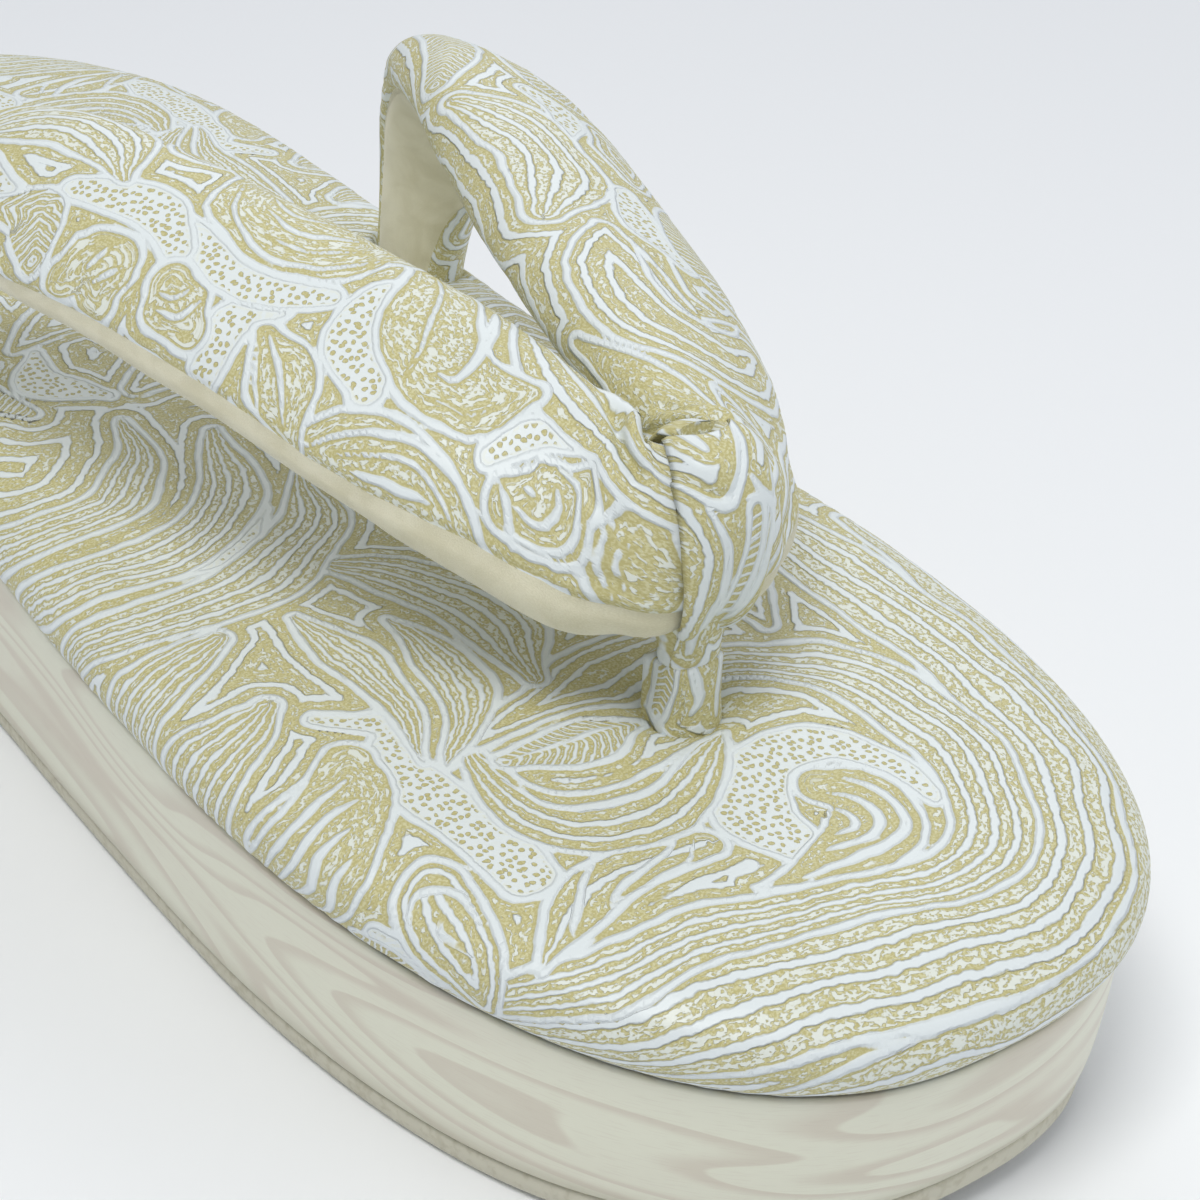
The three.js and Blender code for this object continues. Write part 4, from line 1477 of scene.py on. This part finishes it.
@dataclass
class Thong:
    """The stuffed V-shaped thong: printed hide outside and velour underneath.

    Attributes:
        last: The shape whose length places it.
        arm: One section to a row, from the nose to the end inside the sole: how far out, back
            from the toe tip, up, which way its outer face looks (0 to the toe, 90 to the
            side), how far that face tips up, and the section's width and thickness.
        crown_share: How much of the thickness is on the outer side.
        spacing: The spacing of the rows of points along it.
        print_columns: The faces across its printed outside.
        lining_columns: The faces across its lining.
        inner_seam: Where round the section the inner seam lies.
        seam_along: How far from the nose the outer seam's knots are.
        seam_across: How far from the crown's middle they are.
        nose: How far from its middle the band covers it, so that it stays smooth.
        emboss: How high the print's raised lines stand.
    """

    last: Last
    arm: tuple[tuple[float, ...], ...] = (
        (0.0, 45.0, 49.8, 0, -14, 18.4, 9.0), (4.6, 46.4, 49.4, 44, 12, 18.8, 9.4),
        (7.8, 51.2, 50.0, 66, 40, 20, 10), (10.0, 57.0, 52.0, 70, 55, 21.8, 10.6),
        (12.2, 64.0, 54.2, 72, 63, 24, 11), (15.8, 77.0, 57.5, 73, 69, 25.4, 11),
        (20.0, 92.0, 60.5, 73, 70, 25, 11), (24.8, 108.0, 63.2, 74, 68, 24, 11),
        (28.8, 121.5, 64.2, 77, 61, 22.4, 10.8), (31.6, 132.0, 61.0, 80, 48, 20.4, 10.2),
        (33.0, 139.6, 52.5, 84, 30, 18, 9.4), (33.4, 143.2, 42.0, 88, 12, 15.6, 8.4),
        (33.2, 144.6, 32.0, 90, 3, 14.4, 7.8), (33.0, 145.0, 24.0, 90, 0, 14, 7.6))
    crown_share: float = 0.56
    spacing: float = 0.5
    print_columns: int = 82
    lining_columns: int = 24
    inner_seam: float = -0.8
    seam_along: tuple[float, ...] = (0, 4, 7, 11, 16, 21, 27, 34, 150)
    seam_across: tuple[float, ...] = (6, 6.2, 6.4, 7.2, 8.8, 10.6, 12.3, 13.2, 13.2)
    nose: float = 4.2
    emboss: float = 0.09

    def rows(self) -> np.ndarray:
        """Every section from the end at -X round the nose to the end at +X, with its side."""
        arm = np.asarray(self.arm, float)
        both = np.vstack([arm[:0:-1], arm])
        side = np.r_[-np.ones(len(arm) - 1), np.ones(len(arm))]
        return np.column_stack([both, side])

    def centre(self, t: np.ndarray) -> np.ndarray:
        """The sections' middles, t from 0 at the end at -X to 1."""
        r = self.rows()
        knots = np.stack([r[:, 7] * r[:, 0], r[:, 1] - self.last.length / 2, r[:, 2]], 1)
        return spline(knots, t)

    def surface(self, t: np.ndarray, angle: np.ndarray, grow: float = 0.0) -> np.ndarray:
        """Points on the thong.

        Args:
            t: Along it, 0 to 1.
            angle: Round the section: 0 its upper edge, a quarter turn the crown's middle.
            grow: How far outside the thong.

        Returns:
            The points.
        """
        r = self.rows()
        turn = spline(np.stack([r[:, 7] * r[:, 3], r[:, 4]], 1), t)
        size = spline(r[:, 5:7], t)
        tiny = 1e-4
        after, before = np.clip(t + tiny, 0, 1), np.clip(t - tiny, 0, 1)
        forward = unit(self.centre(after) - self.centre(before))
        facing, lean = np.radians(turn).T
        out = np.stack([np.sin(facing) * np.cos(lean), -np.cos(facing) * np.cos(lean),
                        np.sin(lean)], 1)
        out = unit(out - (out * forward).sum(1)[:, None] * forward)
        across = np.cross(out, forward)
        deep = np.where(np.sin(angle) >= 0, self.crown_share, 1 - self.crown_share) * size[:, 1]
        a = (size[:, 0] / 2 + grow) * squared(np.cos(angle), 0.05)
        n = (deep + grow) * squared(np.sin(angle), 0.05)
        return self.centre(t) + a[:, None] * across + n[:, None] * out

    def stations(self) -> tuple[np.ndarray, np.ndarray]:
        """Evenly spaced places along the thong.

        Returns:
            t at each, and how far it is from the nose, negative on the arm at -X.
        """
        t = np.linspace(0, 1, 2400)
        run = run_length(self.centre(t))
        nose = np.interp(0.5, t, run)
        steps = np.linspace(0, run[-1], int(run[-1] / self.spacing))
        return np.interp(steps, run, t), steps - nose

    def section_angles(self, t: np.ndarray, s: np.ndarray) -> tuple[np.ndarray, np.ndarray]:
        """Where the points of each section lie.

        Args:
            t: The stations.
            s: Their distances from the nose.

        Returns:
            The angles, one row for each station, and how far across the hide each is from
            the crown's middle, plus towards the upper edge.
        """
        fine = np.linspace(self.inner_seam, self.inner_seam + 2 * pi, 420)
        points = self.surface(np.repeat(t, len(fine)), np.tile(fine, len(t)))
        points = points.reshape(len(t), len(fine), 3)
        run = np.zeros((len(t), len(fine)))
        run[:, 1:] = np.cumsum(np.linalg.norm(np.diff(points, axis=1), axis=2), 1)
        seam = np.interp(np.abs(s), self.seam_along, self.seam_across)
        columns = self.print_columns + self.lining_columns
        angles, across = np.empty((len(t), columns)), np.empty((len(t), columns))
        for i in range(len(t)):
            middle = np.interp(pi / 2, fine, run[i])
            outer = min(middle + seam[i], 0.8 * run[i, -1])
            steps = np.r_[np.linspace(0, outer, self.print_columns + 1),
                          np.linspace(outer, run[i, -1], self.lining_columns + 1)[1:-1]]
            angles[i] = np.interp(steps, run[i], fine)
            across[i] = middle - steps
        return angles, across

    def build(self, hide: bpy.types.Material, lining: bpy.types.Material) -> bpy.types.Object:
        """Makes the thong as one closed piece.

        Args:
            hide: The finish of its outside.
            lining: The finish of its underside.

        Returns:
            The piece.
        """
        t, s = self.stations()
        angles, across = self.section_angles(t, s)
        count, columns = angles.shape
        base = self.surface(np.repeat(t, columns), angles.ravel()).reshape(count, columns, 3)
        along = np.repeat(s[:, None], columns, 1)
        place = np.stack([np.abs(along), across], 2).reshape(-1, 2)
        near = along.ravel() < 0
        normal = self.normals(base)
        values, relief = self.dress(place, near)
        lift = self.sculpt(place, near, np.arange(columns)).reshape(count, columns)
        on_print = np.arange(columns) <= self.print_columns
        raised = self.emboss * relief.reshape(count, columns) * on_print
        lift += raised * ease((np.abs(along) - self.nose - 0.8) / 2)
        points = base + lift[:, :, None] * normal
        shell = Shell()
        numbers = shell.add(points, **values).reshape(count, columns)
        slots = np.where(np.arange(columns) < self.print_columns, 0, 1)
        shell.grid(numbers, closed=True, finish=slots)
        blank = {name: block[:1] * 0 for name, block in values.items()}
        for row, order in ((0, -1), (-1, 1)):
            shell.fan(shell.add(points[row].mean(0), **blank)[0], numbers[row][::order])
        return shell.mesh("thong", [hide, lining])

    @staticmethod
    def normals(base: np.ndarray) -> np.ndarray:
        """Directions out of a grid of sections.

        Args:
            base: The sections' points, one section to a row.

        Returns:
            One direction for each point.
        """
        forward = np.gradient(base, axis=0)
        around = np.roll(base, -1, 1) - np.roll(base, 1, 1)
        normal = unit(np.cross(forward, around))
        out = base - base.mean(1, keepdims=True)
        return normal * np.sign((normal * out).sum(2).mean())

    @staticmethod
    def dress(
        place: np.ndarray, near: np.ndarray
    ) -> tuple[dict[str, np.ndarray], np.ndarray]:
        """Lays each arm's motifs.

        Args:
            place: Each point's place on the hide.
            near: Whether it is on the arm at -X.

        Returns:
            The per-point vectors and the embossed height.
        """
        relief, values = np.empty(len(place)), {}
        for which, chart in ((near, NEAR_ARM_CHART), (~near, FAR_ARM_CHART)):
            motifs = HideField(place[which]).draw(chart)
            relief[which] = motifs.relief()
            for name, block in motifs.values().items():
                values.setdefault(name, np.empty((len(place), 3)))[which] = block
        return values, relief

    def sculpt(self, place: np.ndarray, near: np.ndarray, column: np.ndarray) -> np.ndarray:
        """The stuffing's softness: how far each point stands out.

        Args:
            place: Each point's place on the hide.
            near: Whether it is on the arm at -X.
            column: The section columns.

        Returns:
            The lift of each point.
        """
        s, c = place.T
        lift = 0.14 * ripple(s / 26 + 3 * near, c / 16, seed=11)
        for creases, which in ((NEAR_CREASES, near), (FAR_CREASES, ~near)):
            for crease in creases:
                lift[which] += crease.height(place[which])
        # the band bites into the nose, and the hide swells beside it
        lift -= 0.5 * bell(s - 6.0, 1.2)
        lift += 0.35 * bell(s - 9.5, 2.4)
        lift *= ease((s - self.nose) / 2.2)
        # the outer seam is drawn in, with a soft fold beside it; then the inner seam
        from_seam = c + np.interp(s, self.seam_along, self.seam_across)
        lift -= 0.38 * bell(from_seam, 0.55)
        lift += 0.12 * bell(from_seam - 0.9, 0.6)
        inner = np.tile(np.minimum(column, len(column) - column), len(place) // len(column))
        return lift - 0.35 * bell(inner.astype(float), 1.1)


# ---- the band over the nose ----
BAND_CREASES: tuple[Crease, ...] = (
    Crease(((-5.6, 15.4), (-1.6, 14.2), (0.4, 17.0), (3.0, 22.0)), -0.35, 0.45),
    Crease(((-5.0, 17.6), (-1.6, 17.0), (0.0, 20.0), (1.4, 23.5)), 0.45, 1.5),
    Crease(((-5.2, 22.0), (-2.4, 20.6)), -0.25, 0.6),
    Crease(((4.6, 21), (3.4, 15), (3.8, 8)), 0.2, 1.0),
    Crease(((-1.2, 0.5), (-2.4, 7), (-3.2, 13)), 0.14, 0.8),
    Crease(((1.6, -3), (0.2, 1.5)), -0.25, 0.5),
    Crease(((-2.6, -2), (-1.8, 3)), -0.2, 0.5),
)


@dataclass
class ToeBand:
    """The folded strip of hide round the nose, whose stem goes down between the toes.

    Attributes:
        thong: What it wraps.
        view: Its half width at each height.
        thick: How thick the folded strip is.
        lowest: How far down the front sheet goes, inside the sleeve.
        gap: How far its underside is from the thong.
        span: Where it ends round the thong's section, before the stem and over the nose.
        rows: The rows of points round the nose, and down before the stem.
        columns: The points across it.
        chart_row: The row of points that its chart is placed from.
        fold: How far the chart's foot lies above that row.
        emboss: How high the print's raised lines stand.
        stem: Rows down the stem: back, up, wide, deep.
        rear_leg: The same down the leg that closes the loop behind the nose.
    """

    thong: Thong
    view: Line = (
        (32, 2.8), (36, 3.0), (38.5, 3.3), (43, 4.4), (50, 5.3), (57, 5.6), (70, 5.6))
    thick: float = 1.3
    lowest: float = 35.2
    gap: float = GAP
    span: tuple[float, float] = (pi - 0.42, -0.08)
    rows: tuple[int, int] = (80, 29)
    columns: int = 37
    chart_row: int = 25
    fold: float = 5.2
    emboss: float = 0.07
    stem: tuple[tuple[float, ...], ...] = (
        (45.2, 17, 4.6, 3.9), (45.2, 30, 4.8, 4.1), (45.2, 35, 5.6, 4.9), (45.1, 37, 6.4, 5.5),
        (45.0, 39.5, 6.6, 5.6), (44.8, 41.6, 6.8, 5.6))
    rear_leg: tuple[tuple[float, ...], ...] = (
        (45.6, 59.4, 4.4, 1.3), (48.4, 58.4, 4.4, 1.3), (51.0, 54.6, 4.0, 1.3),
        (51.8, 49.0, 3.8, 1.3), (50.8, 43.0, 3.8, 1.3), (48.0, 38.4, 4.0, 1.3),
        (45.6, 34.4, 4.2, 1.4))

    def wrapped(self, angle: float, share: np.ndarray, grow: float) -> np.ndarray:
        """One row of points round the nose.

        Args:
            angle: Where the row lies round the thong's section.
            share: Across the band, -1 to 1.
            grow: How far outside the thong.

        Returns:
            The points.
        """
        t = np.linspace(0.44, 0.56, 160)
        arc = self.thong.surface(t, np.full(len(t), angle), grow)
        # only the run that doesn't double back at the fold, and no wider than it
        middle = len(t) // 2
        left = np.flatnonzero(np.diff(arc[:middle, 0]) <= 0)
        right = np.flatnonzero(np.diff(arc[middle:, 0]) <= 0)
        start = left[-1] + 1 if len(left) else 0
        stop = middle + right[0] + 1 if len(right) else len(t)
        arc = arc[start:stop]
        room = 0.97 * min(-arc[0, 0], arc[-1, 0])
        half = np.full(len(share), 5.0)
        for _ in range(6):
            x = share * half
            up = np.interp(x, arc[:, 0], arc[:, 2])
            half = np.interp(up, *np.asarray(self.view).T)
            half = (half ** -8.0 + room ** -8.0) ** -0.125
        return np.stack([np.interp(share * half, arc[:, 0], arc[:, k]) for k in range(3)], 1)

    def stem_row(self, up: float, share: np.ndarray, deep: float) -> np.ndarray:
        """One row of points across the front of the stem at a height."""
        half = float(np.interp(up, *np.asarray(self.view).T))
        middle = self.stem[0][0] - self.thong.last.length / 2
        y = middle - deep * np.sqrt(1 - (0.94 * share) ** 2)
        return np.stack([share * half, y, np.full(len(share), up)], 1)

    def sheet(self, share: np.ndarray, outer: np.ndarray) -> np.ndarray:
        """The front sheet's rows from the sleeve up over the nose.

        Args:
            share: Across the band.
            outer: How far each point of the row is from the thong.

        Returns:
            The grid of points.
        """
        over_nose, before_stem = self.rows
        rows = []
        for angle in np.linspace(*self.span, over_nose):
            under = self.wrapped(angle, share, self.gap)
            over = self.wrapped(angle, share, self.gap + 1.0)
            rows.append(under + (over - under) * (outer - self.gap)[:, None])
        foot = float(rows[0][:, 2].mean())
        lower = []
        for down in np.linspace(0, 1, before_stem + 1)[1:]:
            up = foot + (self.lowest - foot) * down
            stem = self.stem_row(up, share, 1.45 + float(outer.mean()))
            slid = rows[0] + (0, 0, up - foot)
            hold = float(ease(np.array(down * 1.15)))
            lower.append(slid * (1 - hold) + stem * hold)
        return np.array(lower[::-1] + rows)

    def build(self, hide: bpy.types.Material) -> bpy.types.Object:
        """Makes the band.

        Args:
            hide: Its finish.

        Returns:
            The piece.
        """
        share = np.linspace(-1, 1, self.columns)
        round_edge = 0.55 + (self.thick - self.gap) * (1 - np.abs(share) ** 5) ** 0.5
        front = self.sheet(share, round_edge)
        back = self.sheet(share, np.full(len(share), self.gap + 0.2))
        run = run_length(front[:, self.columns // 2])
        run -= run[self.chart_row] + self.fold
        place = np.stack([front[:, :, 0], np.repeat(run[:, None], len(share), 1)], 2)
        place = place.reshape(-1, 2)
        motifs = HideField(place).draw(BAND_CHART)
        lift = self.emboss * motifs.relief()
        for crease in BAND_CREASES:
            lift += crease.height(place)
        # the edges and the hidden end stay flat
        edge = 1 - np.tile(np.abs(share), len(front)) ** 6
        edge *= np.repeat(ease((run[-1] - run) / 4.5), len(share))
        forward, sideways = np.gradient(front, axis=0), np.gradient(front, axis=1)
        normal = unit(np.cross(sideways, forward))
        normal *= np.sign(-normal[:, :, 1].mean())
        front = front + (lift * edge).reshape(front.shape[:2])[:, :, None] * normal
        shell = Shell()
        values = motifs.values()
        top = shell.add(front, **values).reshape(front.shape[:2])
        hidden = {name: v.reshape(front.shape)[:, 1:-1] for name, v in values.items()}
        under = shell.add(back[:, 1:-1], **hidden).reshape(len(back), -1)
        loop = np.hstack([top, under[:, ::-1]])
        shell.grid(loop, closed=True)
        for row, turn in ((loop[0], 1), (loop[-1], -1)):
            for k in range(len(share) - 1):
                a, b = row[k], row[k + 1]
                c = row[-k - 1] if k else row[0]
                d = row[-k - 2] if k < len(share) - 2 else b
                shell.face((a, b, d, c)[::-turn])
        return shell.mesh("toe_band_wrap", [hide])


def sweep_tree(name: str, material: bpy.types.Material) -> bpy.types.NodeTree:
    """A tree that sweeps a soft oval along a path of points.

    Args:
        name: The tree's name.
        material: The finish of what it makes.

    Returns:
        The tree, with inputs for the path's points round and the oval's flatness.
    """
    tree = bpy.data.node_groups.new(name, "GeometryNodeTree")
    for label, way, kind in (("Path", "INPUT", "Geometry"), ("Sides", "INPUT", "Int"),
                             ("Flatness", "INPUT", "Float"), ("Swept", "OUTPUT", "Geometry")):
        tree.interface.new_socket(label, in_out=way, socket_type="NodeSocket" + kind)
    add = tree.nodes.new
    given, result = add("NodeGroupInput"), add("NodeGroupOutput")
    curve, wide = add("GeometryNodeMeshToCurve"), add("GeometryNodeInputNamedAttribute")
    radius, oval = add("GeometryNodeSetCurveRadius"), add("GeometryNodeCurvePrimitiveCircle")
    press, sweep = add("GeometryNodeTransform"), add("GeometryNodeCurveToMesh")
    scale = add("ShaderNodeCombineXYZ")
    realize, finish = add("GeometryNodeRealizeInstances"), add("GeometryNodeSetMaterial")
    wide.data_type = "FLOAT"
    wide.inputs["Name"].default_value = "half_width"
    oval.inputs["Radius"].default_value = 1.0
    scale.inputs["X"].default_value = scale.inputs["Z"].default_value = 1.0
    sweep.inputs["Fill Caps"].default_value = True
    finish.inputs["Material"].default_value = material
    for giver, out, taker, into in (
        (given, "Path", curve, "Mesh"), (curve, "Curve", radius, "Curve"),
        (wide, "Attribute", radius, "Radius"), (wide, "Attribute", sweep, "Scale"),
        (given, "Sides", oval, "Resolution"), (given, "Flatness", scale, "Y"),
        (oval, "Curve", press, "Geometry"), (scale, "Vector", press, "Scale"),
        (radius, "Curve", sweep, "Curve"), (press, "Geometry", sweep, "Profile Curve"),
        (sweep, "Mesh", realize, "Geometry"), (realize, "Geometry", finish, "Geometry"),
        (finish, "Geometry", result, "Swept"),
    ):
        tree.links.new(giver.outputs[out], taker.inputs[into])
    return tree


@dataclass
class SweptStrip:
    """A strip of folded hide that follows a path in the middle plane.

    Attributes:
        name: The piece's name.
        rows: Rows along it: back, up, wide, deep.
        last: The shape whose length places it.
        sides: The points round it.
        chart_foot: The height at which the band's chart starts.
    """

    name: str
    rows: tuple[tuple[float, ...], ...]
    last: Last
    sides: int = 36
    chart_foot: float = 42.0

    def build(self, hide: bpy.types.Material) -> bpy.types.Object:
        """Makes the strip with a sweep.

        Args:
            hide: Its finish.

        Returns:
            The piece, as a plain mesh.
        """
        path = spline(np.asarray(self.rows), np.linspace(0, 1, 60))
        points = np.stack([0 * path[:, 0], path[:, 0] - self.last.length / 2, path[:, 1]], 1) * MM
        data = bpy.data.meshes.new(self.name + "_path")
        data.from_pydata(points.tolist(), [(i, i + 1) for i in range(len(points) - 1)], [])
        layer = data.attributes.new("half_width", "FLOAT", "POINT")
        layer.data.foreach_set("value", (path[:, 2] / 2 * MM).astype(np.float32))
        source = put(self.name + "_path", data)
        tree = sweep_tree(self.name + "_sweep", hide)
        modifier = source.modifiers.new("sweep", "NODES")
        modifier.node_group = tree
        sockets = {item.name: item.identifier for item in tree.interface.items_tree}
        modifier[sockets["Sides"]] = self.sides
        modifier[sockets["Flatness"]] = float(path[:, 3].mean() / path[:, 2].mean())
        evaluated = source.evaluated_get(bpy.context.evaluated_depsgraph_get())
        mesh = bpy.data.meshes.new_from_object(evaluated)
        bpy.data.objects.remove(source)
        mesh.name = self.name
        # the band's motifs, laid on from the front
        place = corner_points(mesh)[:, [0, 2]] / MM - (0, self.chart_foot)
        store(mesh, HideField(place).draw(BAND_CHART).values())
        return smooth_piece(self.name, mesh)


@dataclass
class ToeSleeve:
    """The short sleeve of hide that hides the stem above the padded top.

    Attributes:
        last: The shape whose length places it.
        back: Its middle, back from the toe tip.
        half: Half its width and depth.
        foot: Its lower end.
        top: Its upper end.
        wall: The thickness of its folded edge.
        seam_fin: How far its lapped seam stands out.
        facing: Where round it the chart's middle lies, in degrees.
        seam: Where round it the seam lies, in degrees.
        chart_foot: The height at which its chart starts.
        girth: The hide that goes round it for each radian.
        sides: The points round it.
        rows: The rows of points up its side.
    """

    last: Last
    back: float = 45.2
    half: tuple[float, float] = (3.4, 3.1)
    foot: float = 21.2
    top: float = 36.8
    wall: float = 0.7
    seam_fin: float = 0.75
    facing: float = 241.0
    seam: float = 138.0
    chart_foot: float = 27.5
    girth: float = 3.3
    sides: int = 96
    rows: int = 34

    def ring(self, angle: np.ndarray, inward: float, lift: np.ndarray) -> np.ndarray:
        """One ring of the sleeve, drawn in by a distance and lifted point by point."""
        x = (self.half[0] - inward) * squared(np.cos(angle), 0.1)
        y = (self.half[1] - inward) * squared(np.sin(angle), 0.1)
        return np.stack([x, y + self.back - self.last.length / 2, lift], 1)

    def build(self, hide: bpy.types.Material) -> bpy.types.Object:
        """Makes the sleeve.

        Args:
            hide: Its finish.

        Returns:
            The piece.
        """
        angle = np.linspace(0, 2 * pi, self.sides, endpoint=False)
        turn, from_seam = ((angle - radians(middle) + pi) % (2 * pi) - pi
                           for middle in (self.facing, self.seam))
        slant = 0.4 * np.cos(turn - 2.2) - 0.2
        levels = [(0.9, self.foot), (0.25, self.foot), (0.0, self.foot + 0.3)]
        levels += [(0.0, u) for u in np.linspace(self.foot + 0.8, self.top - 0.9, self.rows)]
        levels += [(0.0, self.top - 0.5), (0.12, self.top - 0.15), (0.36, self.top),
                   (0.6, self.top - 0.12), (self.wall, self.top - 0.4),
                   (self.wall + 0.6, self.top - 0.6)]
        blocks, places = [], []
        for inward, up in levels:
            share = ease(np.array((up - self.foot - 5) / (self.top - self.foot - 5)))
            gather = 0.10 * np.cos(5 * turn + 0.25 * up) * (1 - share)
            gather += 0.06 * np.sin(3 * turn + 0.5 * up)
            flare = 0.16 * float(bell(np.array(up - 29.0), 2.2))
            outside = inward < 0.1
            flare = flare + self.seam_fin * bell(from_seam, 0.22) * outside
            blocks.append(self.ring(angle, inward - flare + gather * outside + 0.1,
                                    up + slant * share))
            places.append(np.stack([turn * self.girth,
                                    np.full(len(angle), up - self.chart_foot)], 1))
        motifs = HideField(np.vstack(places)).draw(SLEEVE_CHART)
        shell = Shell()
        numbers = shell.add(np.array(blocks), **motifs.values()).reshape(len(levels), -1)
        shell.grid(numbers, closed=True)
        blank = {name: block[:1] for name, block in motifs.values().items()}
        for row, order in ((0, -1), (-1, 1)):
            shell.fan(shell.add(blocks[row].mean(0), **blank)[0], numbers[row][::order])
        return shell.mesh("toe_sleeve", [hide])


# ---- the studio ----
@dataclass(frozen=True)
class SoftBox:
    """A square lamp that faces the sandal.

    Attributes:
        name: Its name.
        place: Where it stands, in metres.
        side: Its side, in metres.
        power: Its power, in watts.
        tint: Its colour.
        aim: What it faces, in metres.
    """

    name: str
    place: Triple
    side: float
    power: float
    tint: Colour
    aim: Triple = (0.0, -0.05, 0.03)

    def build(self) -> None:
        """Adds the lamp."""
        data = bpy.data.lights.new(self.name, "AREA")
        data.shape, data.size, data.energy, data.color = "SQUARE", self.side, self.power, self.tint
        lamp = put(self.name, data)
        lamp.location = self.place
        towards = Vector(self.aim) - Vector(self.place)
        lamp.rotation_euler = towards.to_track_quat("-Z", "Y").to_euler()


@dataclass
class Studio:
    """The paper, the lights and the camera.

    Attributes:
        eye: Where the camera stands.
        aim: Which way it looks.
        roll: How far it is tipped round that direction, in degrees.
        lens: Its focal length.
        sensor: The width of its frame.
        sky: How bright the sky is.
        day: The sky's colour, and that of the lamps that fill in.
        paper: Half the paper's side, in metres.
    """

    eye: Triple = (-128.06, -229.35, 151.76)
    aim: Triple = (0.53072, 0.69807, -0.48066)
    roll: float = -1.6
    lens: float = 73.5
    sensor: float = 36.0
    sky: float = 0.50
    day: Colour = (0.96, 0.98, 1.0)
    paper: float = 6.0

    def camera(self) -> None:
        """Sets up the camera."""
        data = bpy.data.cameras.new("camera")
        data.lens, data.sensor_width, data.sensor_fit = self.lens, self.sensor, "HORIZONTAL"
        data.clip_start, data.clip_end = 0.01, 20.0
        camera = put("camera", data)
        aim = Vector(self.aim).normalized()
        right = aim.cross(Vector((0, 0, 1))).normalized()
        up = right.cross(aim)
        turn = Matrix.Rotation(radians(self.roll), 3, aim)
        right, up = turn @ right, turn @ up
        axes = Matrix((right, up, -aim)).transposed().to_4x4()
        camera.matrix_world = Matrix.Translation(Vector(self.eye) * MM) @ axes
        bpy.context.scene.camera = camera

    def build(self, paper: bpy.types.Material) -> None:
        """Makes the floor, the lights, the sky and the camera."""
        mesh, side = bpy.data.meshes.new("paper"), self.paper
        corners = [(-side, -side, 0), (side, -side, 0), (side, side, 0), (-side, side, 0)]
        mesh.from_pydata(corners, [], [(0, 1, 2, 3)])
        mesh.materials.append(paper)
        put("paper", mesh)
        SoftBox("key", (-0.23, -0.20, 0.62), 0.25, 2.0, (1.0, 0.99, 0.94)).build()
        SoftBox("fill", (0.6, -0.7, 0.6), 0.8, 1.8, self.day).build()
        SoftBox("back", (0.7, 0.7, 0.8), 0.9, 2.85, self.day).build()
        world = bpy.data.worlds.new("sky")
        world.use_nodes = True
        sky = world.node_tree.nodes["Background"]
        sky.inputs["Color"].default_value = (*self.day, 1.0)
        sky.inputs["Strength"].default_value = self.sky
        bpy.context.scene.world = world
        bpy.context.scene.view_settings.view_transform = "Standard"
        self.camera()


# ---- putting it together ----
def register(piece: bpy.types.Object, slot: str, *nodes: str) -> None:
    """Places a finished piece in the frame and reports it.

    Args:
        piece: The piece.
        slot: The record's material slot it is painted from; not used.
        nodes: The CAD nodes it stands for.
    """
    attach(piece, "root")
    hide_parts(*nodes)
    LOG.info("%s: %d faces, for %s", piece.name, len(piece.data.polygons), ", ".join(nodes))


def main() -> None:
    """Builds the studio and the sandal."""
    logging.basicConfig(level=logging.INFO, format="%(message)s")
    Studio().build(StudioPaper().material())
    last = Last()
    hide, lining = PrintedHide().material(), Velour().material()
    thong = Thong(last)
    band = ToeBand(thong)
    register(Outsole(last).build(OutsoleRubber().material()), "outsole", "outsole")
    register(WedgeSole(last).build(WoodGrainFilm().material()), "wood_grain", "sole")
    pad = PaddedTop(last).build(hide)
    register(pad, "print", "insole_pad")
    upper = thong.build(hide, lining)
    register(upper, "print", "upper_thong")
    register(band.build(hide), "print", "toe_band")
    register(SweptStrip("toe_band_stem", band.stem, last).build(hide), "print", "toe_band")
    register(SweptStrip("toe_band_rear", band.rear_leg, last).build(hide), "print", "toe_band")
    register(ToeSleeve(last).build(hide), "print", "toe_post_sleeve")


if __name__ == "__main__":
    main()
